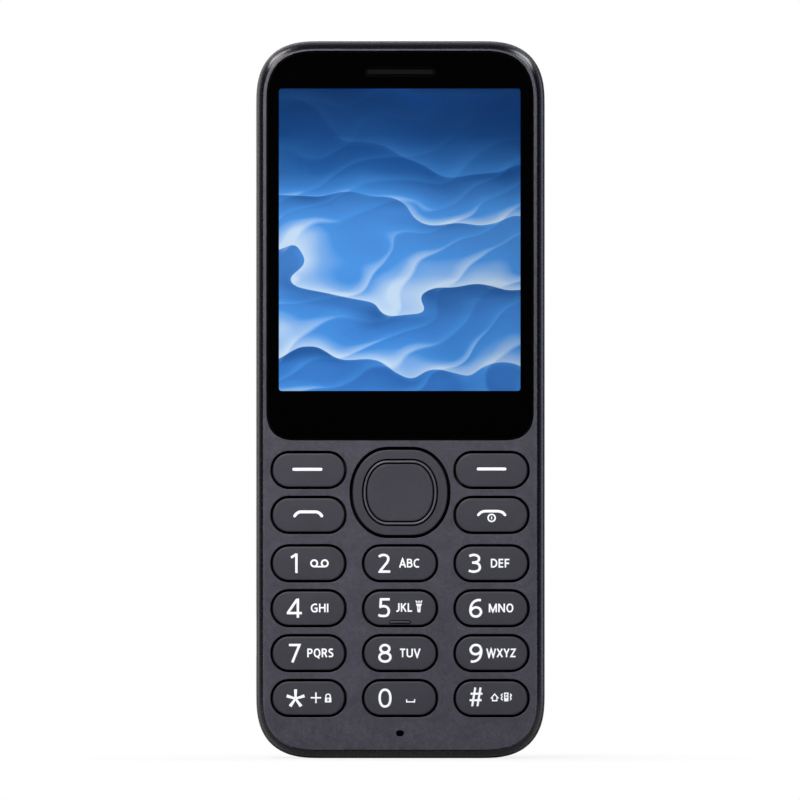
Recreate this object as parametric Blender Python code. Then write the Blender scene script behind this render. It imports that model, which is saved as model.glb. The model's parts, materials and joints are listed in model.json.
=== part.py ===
"""Bar phone with a number keypad, standing upright on its bottom end.

The front faces -Y, +X is to the right seen from the front, and +Z runs up the length. The origin
is the middle of the bottom end. Depths are measured backwards from the front face. All lengths
are in metres.
"""

import math

import bmesh
import bpy
from mathutils import Vector

# Overall size
BODY_WIDTH = 0.0529
BODY_HEIGHT = 0.1316
BODY_DEPTH = 0.0125
KEY_PROUD = 0.0003
PIP_PROUD = 0.0002
THICKNESS = BODY_DEPTH + KEY_PROUD + PIP_PROUD
FACE_Y = KEY_PROUD + PIP_PROUD - THICKNESS / 2

# Clearances between solids
FIT_GAP = 0.0003
STACK_GAP = 0.0002
OVERRUN = 0.001
MERGE = 0.0002

# Outline of the body: corners of even curvature, not plain arcs
CORNER_REACH = 0.0116
CORNER_EXPONENT = 2.65
CORNER_STEPS = 8
ROUND_EXPONENT = 2
KEY_STEPS = 4
ROUND_SIDES = 12
BOSS_SIDES = 8
PLAIN_STEPS = 2
PLAIN_CORNER = 0.0006

# Front housing
FACE_INSET_SIDE = 0.00145
FACE_INSET_BOTTOM = 0.0018
FACE_INSET_TOP = 0.00145
FACE_EDGE = 0.0003
FACE_EDGE_DEPTH = 0.00018
COVER_STEP = 0.00028
FLANK_STEPS = 4
FLANK_START_ANGLE = 35
PARTING_DEPTH = 0.004
FRONT_WALL = 0.0012
CAVITY_INSET_SIDE = 0.0017
CAVITY_INSET_END = 0.002
WINDOW_WALL_LEAD = 0.0004

# Keypad: sixteen flat-sided keys with round ends
KEY_SIDE_MARGIN = 0.00268
KEY_COLUMN_WEB = 0.0028
KEY_ROW_WEB = 0.00124
ROW_PITCH = 0.00824
BOTTOM_ROW_Z = 0.01106
TOP_NUMBER_ROW_Z = BOTTOM_ROW_Z + 3 * ROW_PITCH
FUNCTION_ROW_RISE = 0.00887
KEY_OPENING_WIDTH = (BODY_WIDTH - 2 * KEY_SIDE_MARGIN - 2 * KEY_COLUMN_WEB) / 3
KEY_OPENING_HEIGHT = ROW_PITCH - KEY_ROW_WEB
COLUMN_PITCH = KEY_OPENING_WIDTH + KEY_COLUMN_WEB
KEY_OPENING_CORNER = 0.0034
KEY_GAP = 0.00039
KEY_EDGE = 0.00022
KEY_LIP_SIDE = 0.0005
KEY_LIP_END = 0.00035
KEY_LIP_BACKSET = 0.0015
KEY_FLANGE_THICKNESS = 0.0005
KEY_TRAVEL = 0.00035
KEY_FLANGE_FRONT = FRONT_WALL + FIT_GAP
KEY_FLANGE_BACK = KEY_FLANGE_FRONT + KEY_FLANGE_THICKNESS
PIP_WIDTH = 0.0037
PIP_HEIGHT = 0.0006
PIP_DROP = 0.0026
PIP_CORNER = 0.00025

# Navigation ring, its pad and the select key
NAV_SIDE_WEB = 0.00056
NAV_KEY_WEB = 0.00114
NAV_Z = TOP_NUMBER_ROW_Z + FUNCTION_ROW_RISE + ROW_PITCH / 2
NAV_OPENING_WIDTH = 2 * (COLUMN_PITCH - KEY_OPENING_WIDTH / 2 - NAV_SIDE_WEB)
NAV_OPENING_HEIGHT = 2 * (NAV_Z - TOP_NUMBER_ROW_Z - KEY_OPENING_HEIGHT / 2 - NAV_KEY_WEB)
NAV_CORNER_WIDTH = 0.0069
NAV_CORNER_HEIGHT = 0.0081
NAV_STEPS = 5
NAV_GAP = 0.0005
NAV_EDGE = 0.00025
NAV_LIP = 0.00035
NAV_FLANGE_THICKNESS = 0.0005
NAV_TILT_DEGREES = 1.5
TILT_RISE = math.tan(math.radians(NAV_TILT_DEGREES))
NAV_RING_FLOOR = 0.0007
NAV_FLANGE_FRONT = FRONT_WALL + (NAV_OPENING_WIDTH + NAV_OPENING_HEIGHT) / 2 * TILT_RISE
NAV_RING_BACK = NAV_FLANGE_FRONT + NAV_FLANGE_THICKNESS
NAV_BAND_SIDE = 0.002275
NAV_BAND_END = 0.00221
SELECT_OPENING_WIDTH = NAV_OPENING_WIDTH - 2 * NAV_BAND_SIDE
SELECT_OPENING_HEIGHT = NAV_OPENING_HEIGHT - 2 * NAV_BAND_END
SELECT_GAP = 0.00027
SELECT_EDGE = 0.00008
SELECT_BEAD = 0.0003
SELECT_GROOVE = 0.0003
SELECT_GROOVE_DEPTH = 0.00025
SELECT_LIP = 0.0005
SELECT_FLANGE_THICKNESS = 0.0005
SELECT_RISE = (SELECT_OPENING_WIDTH + SELECT_OPENING_HEIGHT) / 2 * TILT_RISE
SELECT_FLANGE_FRONT = NAV_RING_FLOOR + SELECT_RISE + STACK_GAP
SELECT_FLANGE_BACK = SELECT_FLANGE_FRONT + SELECT_FLANGE_THICKNESS
SELECT_STEM_RADIUS = 0.002
LEG_RADIUS = 0.00065
LEG_SIDES = 8
LEG_CLEARANCE = 0.0004
NAV_PAD_THICKNESS = 0.0008
NAV_PAD_FRONT = NAV_RING_BACK + FIT_GAP
NAV_PAD_BACK = NAV_PAD_FRONT + NAV_PAD_THICKNESS
NAV_PAD_STEM_GAP = 0.0006

# Display window and what lies behind it
WINDOW_BORDER_SIDE = 0.001925
WINDOW_BORDER_TOP = 0.0018
NAV_WINDOW_WEB = 0.00118
WINDOW_WIDTH = BODY_WIDTH - 2 * WINDOW_BORDER_SIDE
WINDOW_BOTTOM = NAV_Z + NAV_OPENING_HEIGHT / 2 + NAV_WINDOW_WEB
WINDOW_TOP = BODY_HEIGHT - WINDOW_BORDER_TOP
WINDOW_LOWER_CORNER = 0.0058
WINDOW_STEPS = 5
WINDOW_GAP = 0.0002
WINDOW_SET = 0.00005
WINDOW_THICKNESS = 0.001
WINDOW_EDGE = 0.00015
WINDOW_SEAT = WINDOW_SET + WINDOW_THICKNESS + FIT_GAP
SLOT_WIDTH = 0.0127
SLOT_HEIGHT = 0.0014
SLOT_CORNER = 0.0005
SLOT_DROP = 0.0039
SLOT_Z = WINDOW_TOP - SLOT_DROP
MESH_SIDE_GAP = 0.00025
MESH_LIP = 0.0006
MESH_THICKNESS = 0.0003
MESH_SET = 0.0002
POCKET_GAP = 0.00025
POCKET_FLOOR = WINDOW_SEAT + MESH_THICKNESS + POCKET_GAP
POCKET_FLOOR_WALL = 0.0003
WINDOW_WALL = POCKET_FLOOR + POCKET_FLOOR_WALL
DISPLAY_BORDER_SIDE = 0.001575
DISPLAY_WIDTH = WINDOW_WIDTH - 2 * DISPLAY_BORDER_SIDE
DISPLAY_RISE = 0.0049
DISPLAY_DROP = 0.006
DISPLAY_BOTTOM = WINDOW_BOTTOM + DISPLAY_RISE
DISPLAY_TOP = WINDOW_TOP - DISPLAY_DROP
DISPLAY_CORNER = 0.0005
DISPLAY_GLASS_INSET = 0.0003
DISPLAY_GLASS_THICKNESS = 0.0009
DISPLAY_THICKNESS = 0.0018
DISPLAY_BACK = WINDOW_SEAT + DISPLAY_THICKNESS
BRACKET_INSET_SIDE = 0.00065
BRACKET_WIDTH = DISPLAY_WIDTH - 2 * BRACKET_INSET_SIDE
BRACKET_RISE = 0.0028
BRACKET_DROP = 0.0001
BRACKET_BOTTOM = DISPLAY_BOTTOM + BRACKET_RISE
BRACKET_TOP = DISPLAY_TOP - BRACKET_DROP
BRACKET_BAR = 0.004
BRACKET_THICKNESS = 0.0008
BRACKET_FRONT = DISPLAY_BACK + STACK_GAP
FLEX_WIDTH = 0.014
FLEX_THICKNESS = 0.00015
FLEX_LAND = 0.004
FLEX_BEND = 0.0012
FLEX_BRACKET_GAP = 0.0004
FLEX_TOP = BRACKET_BOTTOM - FLEX_BRACKET_GAP
FLEX_BEND_TOP = FLEX_TOP - FLEX_LAND
FLEX_BEND_BOTTOM = FLEX_BEND_TOP - FLEX_BEND
FLEX_BOTTOM = FLEX_BEND_BOTTOM - FLEX_BEND
RECEIVER_WIDTH = 0.012
RECEIVER_HEIGHT = 0.0034
RECEIVER_DISPLAY_GAP = 0.0008
RECEIVER_BOTTOM = DISPLAY_TOP + RECEIVER_DISPLAY_GAP
RECEIVER_TOP = RECEIVER_BOTTOM + RECEIVER_HEIGHT
RECEIVER_THICKNESS = 0.0015

# Microphone behind the hole in the chin
MIC_Z = 0.0046
MIC_HOLE_RADIUS = 0.00055
MIC_RADIUS = 0.0015
MIC_THICKNESS = 0.00125
MIC_SEAL_WALL = 0.0004
MIC_SEAL_GAP = 0.00025
MIC_SEAL_RADIUS = MIC_RADIUS + MIC_SEAL_GAP + MIC_SEAL_WALL

# Switches under the keys, each a travel behind its key
MEMBRANE_SIDE_GAP = 0.00075
MEMBRANE_MIC_GAP = 0.00065
MEMBRANE_FLEX_GAP = 0.001
MEMBRANE_WIDTH = BODY_WIDTH - 2 * (CAVITY_INSET_SIDE + MEMBRANE_SIDE_GAP)
MEMBRANE_BOTTOM = MIC_Z + MIC_SEAL_RADIUS + MEMBRANE_MIC_GAP
MEMBRANE_TOP = FLEX_BOTTOM - MEMBRANE_FLEX_GAP
MEMBRANE_CORNER = 0.0025
MEMBRANE_WEB = 0.00035
MEMBRANE_PAD_PROUD = 0.00015
MEMBRANE_PAD_INSET_SIDE = 0.0025
MEMBRANE_PAD_INSET_END = 0.0013
MEMBRANE_PAD_WIDTH = KEY_OPENING_WIDTH - 2 * MEMBRANE_PAD_INSET_SIDE
MEMBRANE_PAD_HEIGHT = KEY_OPENING_HEIGHT - 2 * MEMBRANE_PAD_INSET_END
MEMBRANE_PAD_FRONT = KEY_FLANGE_BACK + KEY_TRAVEL + FIT_GAP
MEMBRANE_FRONT = MEMBRANE_PAD_FRONT + MEMBRANE_PAD_PROUD
MEMBRANE_BACK = MEMBRANE_FRONT + MEMBRANE_WEB
MEMBRANE_NAV_GAP = 0.0005
NUB_RADIUS = 0.001
NUB_LENGTH = 0.00045
NUB_BACK = MEMBRANE_BACK + NUB_LENGTH
NUB_SIDES = 6
NUB_DOME_GAP = 0.00025
DOME_RADIUS = 0.002
DOME_CROWN_RADIUS = 0.001
DOME_HEIGHT = 0.00025
DOME_SIDES = 7
DOME_FRONT = NUB_BACK + NUB_DOME_GAP
DOME_SHEET_THICKNESS = 0.00015
DOME_SHEET_FRONT = DOME_FRONT + DOME_HEIGHT
DOME_SHEET_BACK = DOME_SHEET_FRONT + DOME_SHEET_THICKNESS
DOME_SHEET_INSET = 0.0003
DOME_SHEET_BOTTOM = MEMBRANE_BOTTOM + DOME_SHEET_INSET
DOME_SHEET_TOP = MEMBRANE_TOP - DOME_SHEET_INSET
PRESSED_GAP = 0.0001
SELECT_STEM_BACK = DOME_FRONT - KEY_TRAVEL - PRESSED_GAP
LEG_BACK = DOME_FRONT - NAV_OPENING_WIDTH / 2 * TILT_RISE - PRESSED_GAP

# Rear chassis, which nests inside the housing behind the membrane
CHASSIS_INSET_SIDE = CAVITY_INSET_SIDE + FIT_GAP
CHASSIS_INSET_END = CAVITY_INSET_END + FIT_GAP
CHASSIS_WALL = 0.001
CHASSIS_FRONT = MEMBRANE_BACK + FIT_GAP
CHASSIS_FLOOR_THICKNESS = 0.0007
CHASSIS_ROOF = 0.0006
CHASSIS_EDGE = 0.0005
CHASSIS_COVER_ROOM = 0.0006
COVER_WALL = 0.0011
COVER_FLOOR = BODY_DEPTH - COVER_WALL
CHASSIS_BACK = COVER_FLOOR - CHASSIS_COVER_ROOM
CHASSIS_ROOF_FRONT = CHASSIS_BACK - CHASSIS_ROOF
DOME_SHEET_WIDTH = BODY_WIDTH - 2 * (CHASSIS_INSET_SIDE + CHASSIS_WALL + FIT_GAP)

# Main board
BOARD_SIDE_GAP = 0.0004
BOARD_INSET_SIDE = CHASSIS_INSET_SIDE + CHASSIS_WALL + BOARD_SIDE_GAP
BOARD_INSET_END = CHASSIS_INSET_END + CHASSIS_WALL + BOARD_SIDE_GAP
BOARD_FRONT = DOME_SHEET_BACK + STACK_GAP
BOARD_THICKNESS = 0.0009
BOARD_BACK = BOARD_FRONT + BOARD_THICKNESS
PART_FRONT = BOARD_BACK + STACK_GAP
SHIELD_THICKNESS = 0.0009
SHIELD_CORNER = 0.001
SHIELD_GAP = 0.00025
CHASSIS_FLOOR_FRONT = PART_FRONT + SHIELD_THICKNESS + SHIELD_GAP
CHASSIS_FLOOR_BACK = CHASSIS_FLOOR_FRONT + CHASSIS_FLOOR_THICKNESS

MIC_BACK = BOARD_FRONT - STACK_GAP
MIC_FRONT = MIC_BACK - MIC_THICKNESS

# Screws, in three pairs
SCREW_TOP_INSET = 0.00715
SCREW_TOP_DROP = 0.0057
SCREW_MIDDLE_INSET = 0.00455
SCREW_BOTTOM_INSET = 0.01045
BOSS_RADIUS = 0.0018
SCREW_TOP_X = BODY_WIDTH / 2 - SCREW_TOP_INSET
SCREW_TOP_Z = BODY_HEIGHT - SCREW_TOP_DROP
SCREW_MIDDLE_X = BODY_WIDTH / 2 - SCREW_MIDDLE_INSET
SCREW_MIDDLE_Z = MEMBRANE_TOP + FIT_GAP + BOSS_RADIUS
SCREW_BOTTOM_X = BODY_WIDTH / 2 - SCREW_BOTTOM_INSET
SCREW_BOTTOM_Z = 0.0048
SCREW_SHANK_RADIUS = 0.00075
SCREW_HEAD_RADIUS = 0.0014
SCREW_HEAD_THICKNESS = 0.0007
SCREW_SIDE_GAP = 0.0002
SCREW_SEAT = CHASSIS_FLOOR_BACK
SCREW_SIDES = 8
BOSS_BACK = BOARD_FRONT - STACK_GAP
BOSS_HOLE_FLOOR = 0.0004
BOSS_HOLE_FRONT = WINDOW_WALL + BOSS_HOLE_FLOOR
SCREW_TIP = BOSS_HOLE_FRONT + FIT_GAP
COLUMN_RADIUS = 0.0023
COLUMN_FRONT = BOARD_BACK + STACK_GAP

# Camera, torch and vibration motor at the top
CAMERA_DROP = 0.0191
CAMERA_Z = BODY_HEIGHT - CAMERA_DROP
MOTOR_DROP = 0.008
MOTOR_Z = CAMERA_Z - MOTOR_DROP
MOTOR_RADIUS = 0.004
MOTOR_SIDE_GAP = 0.004

# Hollows of the chassis above and below the battery bay
POCKET_SIDE_WALL = 0.00295
POCKET_BAY_WALL = 0.0024
POCKET_CONTACT_WALL = 0.0009
POCKET_HEAD_WALL = 0.0008
POCKET_MOTOR_GAP = 0.0043
SCREW_HEAD_BORE = SCREW_HEAD_RADIUS + SCREW_SIDE_GAP
POCKET_HALF_WIDTH = BODY_WIDTH / 2 - CHASSIS_INSET_SIDE - POCKET_SIDE_WALL
TOP_POCKET_BOTTOM = MOTOR_Z - MOTOR_RADIUS - POCKET_MOTOR_GAP
TOP_POCKET_TOP = SCREW_TOP_Z - SCREW_HEAD_BORE - POCKET_HEAD_WALL
BOTTOM_POCKET_BOTTOM = SCREW_BOTTOM_Z + SCREW_HEAD_BORE + POCKET_HEAD_WALL
MOTOR_X = MOTOR_RADIUS + MOTOR_SIDE_GAP - POCKET_HALF_WIDTH

# Battery and its contacts
BAY_GAP = 0.0004
BAY_SIDE_WALL = 0.0009
BATTERY_WIDTH = 2 * (SCREW_MIDDLE_X - SCREW_HEAD_BORE - BAY_SIDE_WALL - BAY_GAP)
BATTERY_BOTTOM = 0.0404
BATTERY_TOP = TOP_POCKET_BOTTOM - POCKET_BAY_WALL - BAY_GAP
BATTERY_FRONT = CHASSIS_FLOOR_BACK + FIT_GAP
BATTERY_BACK = COVER_FLOOR - FIT_GAP
BATTERY_CORNER = 0.0012
BATTERY_EDGE = 0.0005
BLADE_PITCH = 0.0027
BLADE_WIDTH = 0.0008
BLADE_REACH = 0.0004
BLADE_ROOT_SHARE = 0.48
BLADE_TIP_SHARE = 0.2
BATTERY_WELL_SHARE = 0.45
CONTACT_BLOCK_WIDTH = 0.009
CONTACT_BLOCK_HEIGHT = 0.0023
CONTACT_BLOCK_SET = 0.0004
CONTACT_BLOCK_TOP = BATTERY_BOTTOM - FIT_GAP - BLADE_REACH
CONTACT_BLOCK_BOTTOM = CONTACT_BLOCK_TOP - CONTACT_BLOCK_HEIGHT
CONTACT_BLOCK_BACK = CHASSIS_BACK - CONTACT_BLOCK_SET
BOTTOM_POCKET_TOP = CONTACT_BLOCK_BOTTOM - FIT_GAP - POCKET_CONTACT_WALL

# Card holders in the floor of the battery bay
HOLDER_DROP = 0.0139
HOLDER_Z = BATTERY_TOP - HOLDER_DROP
HOLDER_SIDE_GAP = 0.002
SIM_WIDTH = 0.0155
SIM_HEIGHT = 0.0175
SIM_X = -HOLDER_SIDE_GAP - SIM_WIDTH / 2
CARD_WIDTH = 0.0145
CARD_X = HOLDER_SIDE_GAP + CARD_WIDTH / 2
CARD_HEIGHT = 0.0155
HOLDER_BACK = CHASSIS_FLOOR_BACK - STACK_GAP
HOLDER_SHEET = 0.0002
HOLDER_MOUTH_INSET = 0.0012
HOLDER_MOUTH_DEPTH = 0.011
HOLDER_WINDOW_WIDTH = 0.006
HOLDER_WINDOW_HEIGHT = 0.005
HOLDER_TOP = HOLDER_Z + SIM_HEIGHT / 2

# Shields below the card holders, and chips on the bare parts of the board
SHIELD_HEIGHT = 0.019
SHIELD_COLUMN_GAP = 0.00135
SHIELD_MIDDLE_GAP = 0.0015
SHIELD_HOLDER_GAP = 0.00575
SHIELD_HALF_SPAN = SCREW_MIDDLE_X - COLUMN_RADIUS - SHIELD_COLUMN_GAP
SHIELD_WIDTH = SHIELD_HALF_SPAN - SHIELD_MIDDLE_GAP / 2
SHIELD_X = (SHIELD_HALF_SPAN + SHIELD_MIDDLE_GAP / 2) / 2
SHIELD_Z = HOLDER_Z - (SIM_HEIGHT + SHIELD_HEIGHT) / 2 - SHIELD_HOLDER_GAP
SHIELD_BOTTOM = SHIELD_Z - SHIELD_HEIGHT / 2
UPPER_CHIP_SHARES = ((-0.62, 0.576), (0.3, 0.271), (0.62, 0.36))
LOWER_CHIP_SHARES = ((0.55, 0.8), (-0.5, 0.7))
CHIP_SIDE = 0.0045
CHIP_HEIGHT = 0.0009

# Micro-USB port at the bottom end
USB_WIDTH = 0.0076
USB_HEIGHT = 0.0056
USB_THICKNESS = 0.0027
USB_CORNER_WIDTH = 0.0013
USB_CORNER_HEIGHT = 0.0009
USB_SHEET = 0.0003
USB_MOUTH_DEPTH = 0.0046
USB_TONGUE_WIDTH = 0.0042
USB_TONGUE_THICKNESS = 0.0006
USB_OPENING_GAP = 0.0004

# Audio jack at the top end
JACK_COLUMN_GAP = 0.0024
JACK_WIDTH = 0.0062
JACK_X = SCREW_TOP_X - COLUMN_RADIUS - JACK_COLUMN_GAP - JACK_WIDTH / 2
JACK_HEIGHT = 0.0115
JACK_ROOF_GAP = 0.00015
JACK_THICKNESS = CHASSIS_ROOF_FRONT - JACK_ROOF_GAP - PART_FRONT
JACK_WALL = 0.00045
JACK_BORE_RADIUS = JACK_THICKNESS / 2 - JACK_WALL
JACK_BORE_DEPTH = 0.0095
JACK_COLLAR = 0.0008
JACK_OPENING_RADIUS = JACK_BORE_RADIUS + JACK_COLLAR

# Sizes of the camera, torch, vibration motor, loudspeaker and antenna
CAMERA_SIDE = 0.0085
CAMERA_ROOF_GAP = 0.0006
CAMERA_BODY_BACK = CHASSIS_ROOF_FRONT - CAMERA_ROOF_GAP
CAMERA_BARREL_RADIUS = 0.003
CAMERA_BARREL_GAP = 0.0005
CAMERA_BARREL_BACK = COVER_FLOOR - CAMERA_BARREL_GAP
CAMERA_APERTURE_RADIUS = 0.0014
CAMERA_APERTURE_DEPTH = 0.0005
CAMERA_WINDOW_RADIUS = 0.0046
CAMERA_WINDOW_THICKNESS = 0.0006
CAMERA_SIGHT_RADIUS = 0.0036
LENS_SIDES = 20
TORCH_X = 0.0095
TORCH_LED_SIDE = 0.0028
TORCH_LED_THICKNESS = 0.0013
TORCH_HEAD_RADIUS = 0.002
TORCH_HEAD_THICKNESS = 0.0008
TORCH_PIPE_RADIUS = 0.0013
TORCH_PIPE_GAP = 0.00055
TORCH_PIPE_FRONT = PART_FRONT + TORCH_LED_THICKNESS + TORCH_PIPE_GAP
MOTOR_ROOF_GAP = 0.00195
MOTOR_THICKNESS = CHASSIS_ROOF_FRONT - PART_FRONT - MOTOR_ROOF_GAP
MOTOR_HUB_RADIUS = 0.0012
MOTOR_HUB_HEIGHT = 0.0002
SPEAKER_Z = 0.0235
SPEAKER_WIDTH = 0.015
SPEAKER_HEIGHT = 0.011
SPEAKER_BOARD_GAP = 0.00195
SPEAKER_BACK = CHASSIS_BACK - FIT_GAP
SPEAKER_CONE_INSET = 0.0011
SPEAKER_CONE_DEPTH = 0.0004
SPEAKER_CORNER = 0.0015
ANTENNA_Z = 0.0122
ANTENNA_WIDTH = 0.034
ANTENNA_HEIGHT = 0.006
ANTENNA_THICKNESS = 0.00015
ANTENNA_SLIT_HEIGHT = 0.0012
ANTENNA_SLIT_END = 0.004

# Rear cover
COVER_RIM_DEPTH = PARTING_DEPTH + FIT_GAP
COVER_RIM_EDGE = 0.0002
COVER_ROUND = 0.0029
COVER_SIDE_END = BODY_DEPTH - COVER_ROUND
COVER_ROUND_EXPONENT = 2.2
COVER_ROUND_STEPS = 5
COVER_INNER_STEPS = 3
NOTCH_WIDTH = 0.009
NOTCH_DEPTH = 0.0006
NOTCH_REACH = 0.0009
NOTCH_Z = 0.0225
BEAD_LENGTH = 0.008
BEAD_PROUD = 0.0005
BEAD_DROP = 0.0015
BEAD_WIDTH = 0.001
BEAD_FRONT = COVER_RIM_DEPTH + BEAD_DROP
BEAD_BACK = BEAD_FRONT + BEAD_WIDTH
BEAD_HEIGHT_SHARES = (0.194, 0.49, 0.786)
SLOT_COUNT = 5
COVER_SLOT_WIDTH = 0.0115
COVER_SLOT_HEIGHT = 0.0009
COVER_SLOT_PITCH = 0.0018
COVER_SLOT_CORNER = 0.0004
SPEAKER_MESH_WIDTH = 0.0142
SPEAKER_MESH_HEIGHT = 0.0096
SPEAKER_MESH_THICKNESS = 0.0003
SPEAKER_MESH_CORNER = 0.001

ORIGIN = Vector((0, 0, 0))


def clear_scene():
    for obj in list(bpy.data.objects):
        bpy.data.objects.remove(obj, do_unlink=True)


def make_material(name, colour, roughness, metallic=0):
    material = bpy.data.materials.new(name)
    material.use_nodes = True
    shader = material.node_tree.nodes["Principled BSDF"]
    shader.inputs["Base Color"].default_value = (*colour, 1)
    shader.inputs["Roughness"].default_value = roughness
    shader.inputs["Metallic"].default_value = metallic
    return material


def make_materials():
    return {
        "housing": make_material("housing_grey", (0.062, 0.063, 0.078), 0.45),
        "keys": make_material("key_grey", (0.052, 0.051, 0.063), 0.5),
        "cover": make_material("cover_grey", (0.075, 0.073, 0.08), 0.55),
        "window": make_material("window_black", (0.003, 0.003, 0.004), 0.08),
        "screen": make_material("screen_blue", (0.05, 0.2, 0.6), 0.2),
        "mesh": make_material("mesh_grey", (0.02, 0.02, 0.022), 0.7),
        "silicone": make_material("silicone", (0.12, 0.12, 0.13), 0.7),
        "plastic": make_material("black_plastic", (0.02, 0.02, 0.022), 0.5),
        "board": make_material("board_green", (0.02, 0.1, 0.05), 0.4),
        "steel": make_material("steel", (0.55, 0.55, 0.56), 0.35, 1),
        "copper": make_material("copper", (0.7, 0.4, 0.2), 0.4, 1),
        "film": make_material("dome_film", (0.75, 0.75, 0.7), 0.4),
        "clear": make_material("clear_plastic", (0.85, 0.86, 0.85), 0.1),
        "battery": make_material("battery_grey", (0.06, 0.06, 0.065), 0.5),
    }


def at_depth(depth):
    """The world Y of a depth behind the front face."""
    return FACE_Y + depth


def rounded(left, right, bottom, top, lower, upper=None, exponent=ROUND_EXPONENT, steps=PLAIN_STEPS):
    """A rectangle with rounded corners, anticlockwise. lower and upper are the corners' reaches."""
    upper = upper or lower
    corners = (
        (right, 1, bottom, -1, lower, -90),
        (right, 1, top, 1, upper, 0),
        (left, -1, top, 1, upper, 90),
        (left, -1, bottom, -1, lower, 180),
    )
    points = []
    for side, out, end, up, (reach_across, reach_along), start in corners:
        for step in range(steps + 1):
            angle = math.radians(start + 90 * step / steps)
            across = abs(math.cos(angle)) ** (2 / exponent)
            along = abs(math.sin(angle)) ** (2 / exponent)
            place_across = side - out * reach_across * (1 - across)
            place_along = end - up * reach_along * (1 - along)
            points.append((place_across, place_along))
    return points


def centred(x, z, width, height, corner, inset=0, steps=PLAIN_STEPS):
    """A rounded rectangle about its centre, drawn in by inset on all sides."""
    reach = corner - inset
    return rounded(
        x - width / 2 + inset,
        x + width / 2 - inset,
        z - height / 2 + inset,
        z + height / 2 - inset,
        (reach, reach),
        steps=steps,
    )


def plain_box(x, z, width, height):
    left = x - width / 2
    right = x + width / 2
    bottom = z - height / 2
    top = z + height / 2
    return ((left, bottom), (right, bottom), (right, top), (left, top))


def circle(x, z, radius, sides=ROUND_SIDES):
    points = []
    for index in range(sides):
        angle = math.tau * index / sides - math.pi / 2
        points.append((x + radius * math.cos(angle), z + radius * math.sin(angle)))
    return points


def body_outline(side_inset, end_inset, top_inset=None):
    """The phone's outline, drawn in at its sides and its ends."""
    top_inset = end_inset if top_inset is None else top_inset
    half_width = BODY_WIDTH / 2 - side_inset
    lower = (CORNER_REACH - side_inset, CORNER_REACH - end_inset)
    upper = (CORNER_REACH - side_inset, CORNER_REACH - top_inset)
    top = BODY_HEIGHT - top_inset
    return rounded(-half_width, half_width, end_inset, top, lower, upper, CORNER_EXPONENT, CORNER_STEPS)


def section(outline, depth):
    """An outline in X and Z, laid at a depth."""
    return [Vector((x, at_depth(depth), z)) for x, z in outline]


def level(outline, height):
    """An outline in X and depth, laid at a height."""
    return [Vector((x, at_depth(depth), height)) for x, depth in outline]


def prism(outline, front, back):
    return [section(outline, front), section(outline, back)]


def upright(outline, bottom, top):
    return [level(outline, bottom), level(outline, top)]


def loft_mesh(name, stacks, ring=False, pivot=ORIGIN):
    """A mesh of closed bodies, each lofted through a stack of loops of equal count."""
    shape = bmesh.new()
    for stack in stacks:
        loops = [[shape.verts.new(point - pivot) for point in loop] for loop in stack]
        pairs = list(zip(loops, loops[1:]))
        if ring:
            pairs.append((loops[-1], loops[0]))
        for near, far in pairs:
            for index in range(len(near)):
                follow = (index + 1) % len(near)
                shape.faces.new((near[index], near[follow], far[follow], far[index]))
        if not ring:
            shape.faces.new(loops[0])
            shape.faces.new(loops[-1])
    bmesh.ops.recalc_face_normals(shape, faces=shape.faces)
    mesh = bpy.data.meshes.new(name)
    shape.to_mesh(mesh)
    shape.free()
    mesh.shade_smooth()
    mesh.set_sharp_from_angle(angle=math.radians(30))
    return mesh


def piece(name, stacks, material, parent, ring=False, pivot=ORIGIN):
    """A named part of the phone, with its origin at pivot."""
    obj = bpy.data.objects.new(name, loft_mesh(name, stacks, ring, pivot))
    obj.data.materials.append(material)
    bpy.context.scene.collection.objects.link(obj)
    obj.parent = parent
    obj.location = pivot - (parent.matrix_world.translation if parent else ORIGIN)
    bpy.context.view_layer.update()
    return obj


def combine(target, stacks, operation, name, ring=False):
    """Cuts the stacks' bodies from the target, or joins them to it, with a Boolean modifier."""
    tool = bpy.data.objects.new(name, loft_mesh(name, stacks, ring))
    bpy.context.scene.collection.objects.link(tool)
    tool.hide_render = True
    tool.display_type = "WIRE"
    modifier = target.modifiers.new(name, "BOOLEAN")
    modifier.operation = operation
    modifier.solver = "EXACT"
    modifier.object = tool


def cut(target, stacks, name, ring=False):
    combine(target, stacks, "DIFFERENCE", name, ring)


def fuse(target, stacks, name, ring=False):
    combine(target, stacks, "UNION", name, ring)


def make_empty(name, place, parent=None):
    empty = bpy.data.objects.new(name, None)
    bpy.context.scene.collection.objects.link(empty)
    empty.parent = parent
    empty.location = place - (parent.matrix_world.translation if parent else ORIGIN)
    bpy.context.view_layer.update()
    return empty


def screw_places():
    """The six screws, in pairs from the top."""
    places = []
    pairs = (
        (SCREW_TOP_X, SCREW_TOP_Z),
        (SCREW_MIDDLE_X, SCREW_MIDDLE_Z),
        (SCREW_BOTTOM_X, SCREW_BOTTOM_Z),
    )
    for x, z in pairs:
        places.append((-x, z))
        places.append((x, z))
    return places


def key_row_z(row):
    """The centre of a row of keys, counted up from the bottom. Rows 4 and 5 are the function keys."""
    if row > 3:
        return TOP_NUMBER_ROW_Z + FUNCTION_ROW_RISE + ROW_PITCH * (row - 4)
    return BOTTOM_ROW_Z + ROW_PITCH * row


def key_places():
    """Each key's name, column and row."""
    rows = (
        ("key_star", "key_0", "key_hash"),
        ("key_7", "key_8", "key_9"),
        ("key_4", "key_5", "key_6"),
        ("key_1", "key_2", "key_3"),
        ("call_key", None, "end_key"),
        ("soft_key_left", None, "soft_key_right"),
    )
    places = []
    for row, names in enumerate(rows):
        for column, name in zip((-1, 0, 1), names):
            if name:
                places.append((name, column, row))
    return places


def key_centre(column, row):
    return column * COLUMN_PITCH, key_row_z(row)


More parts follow.
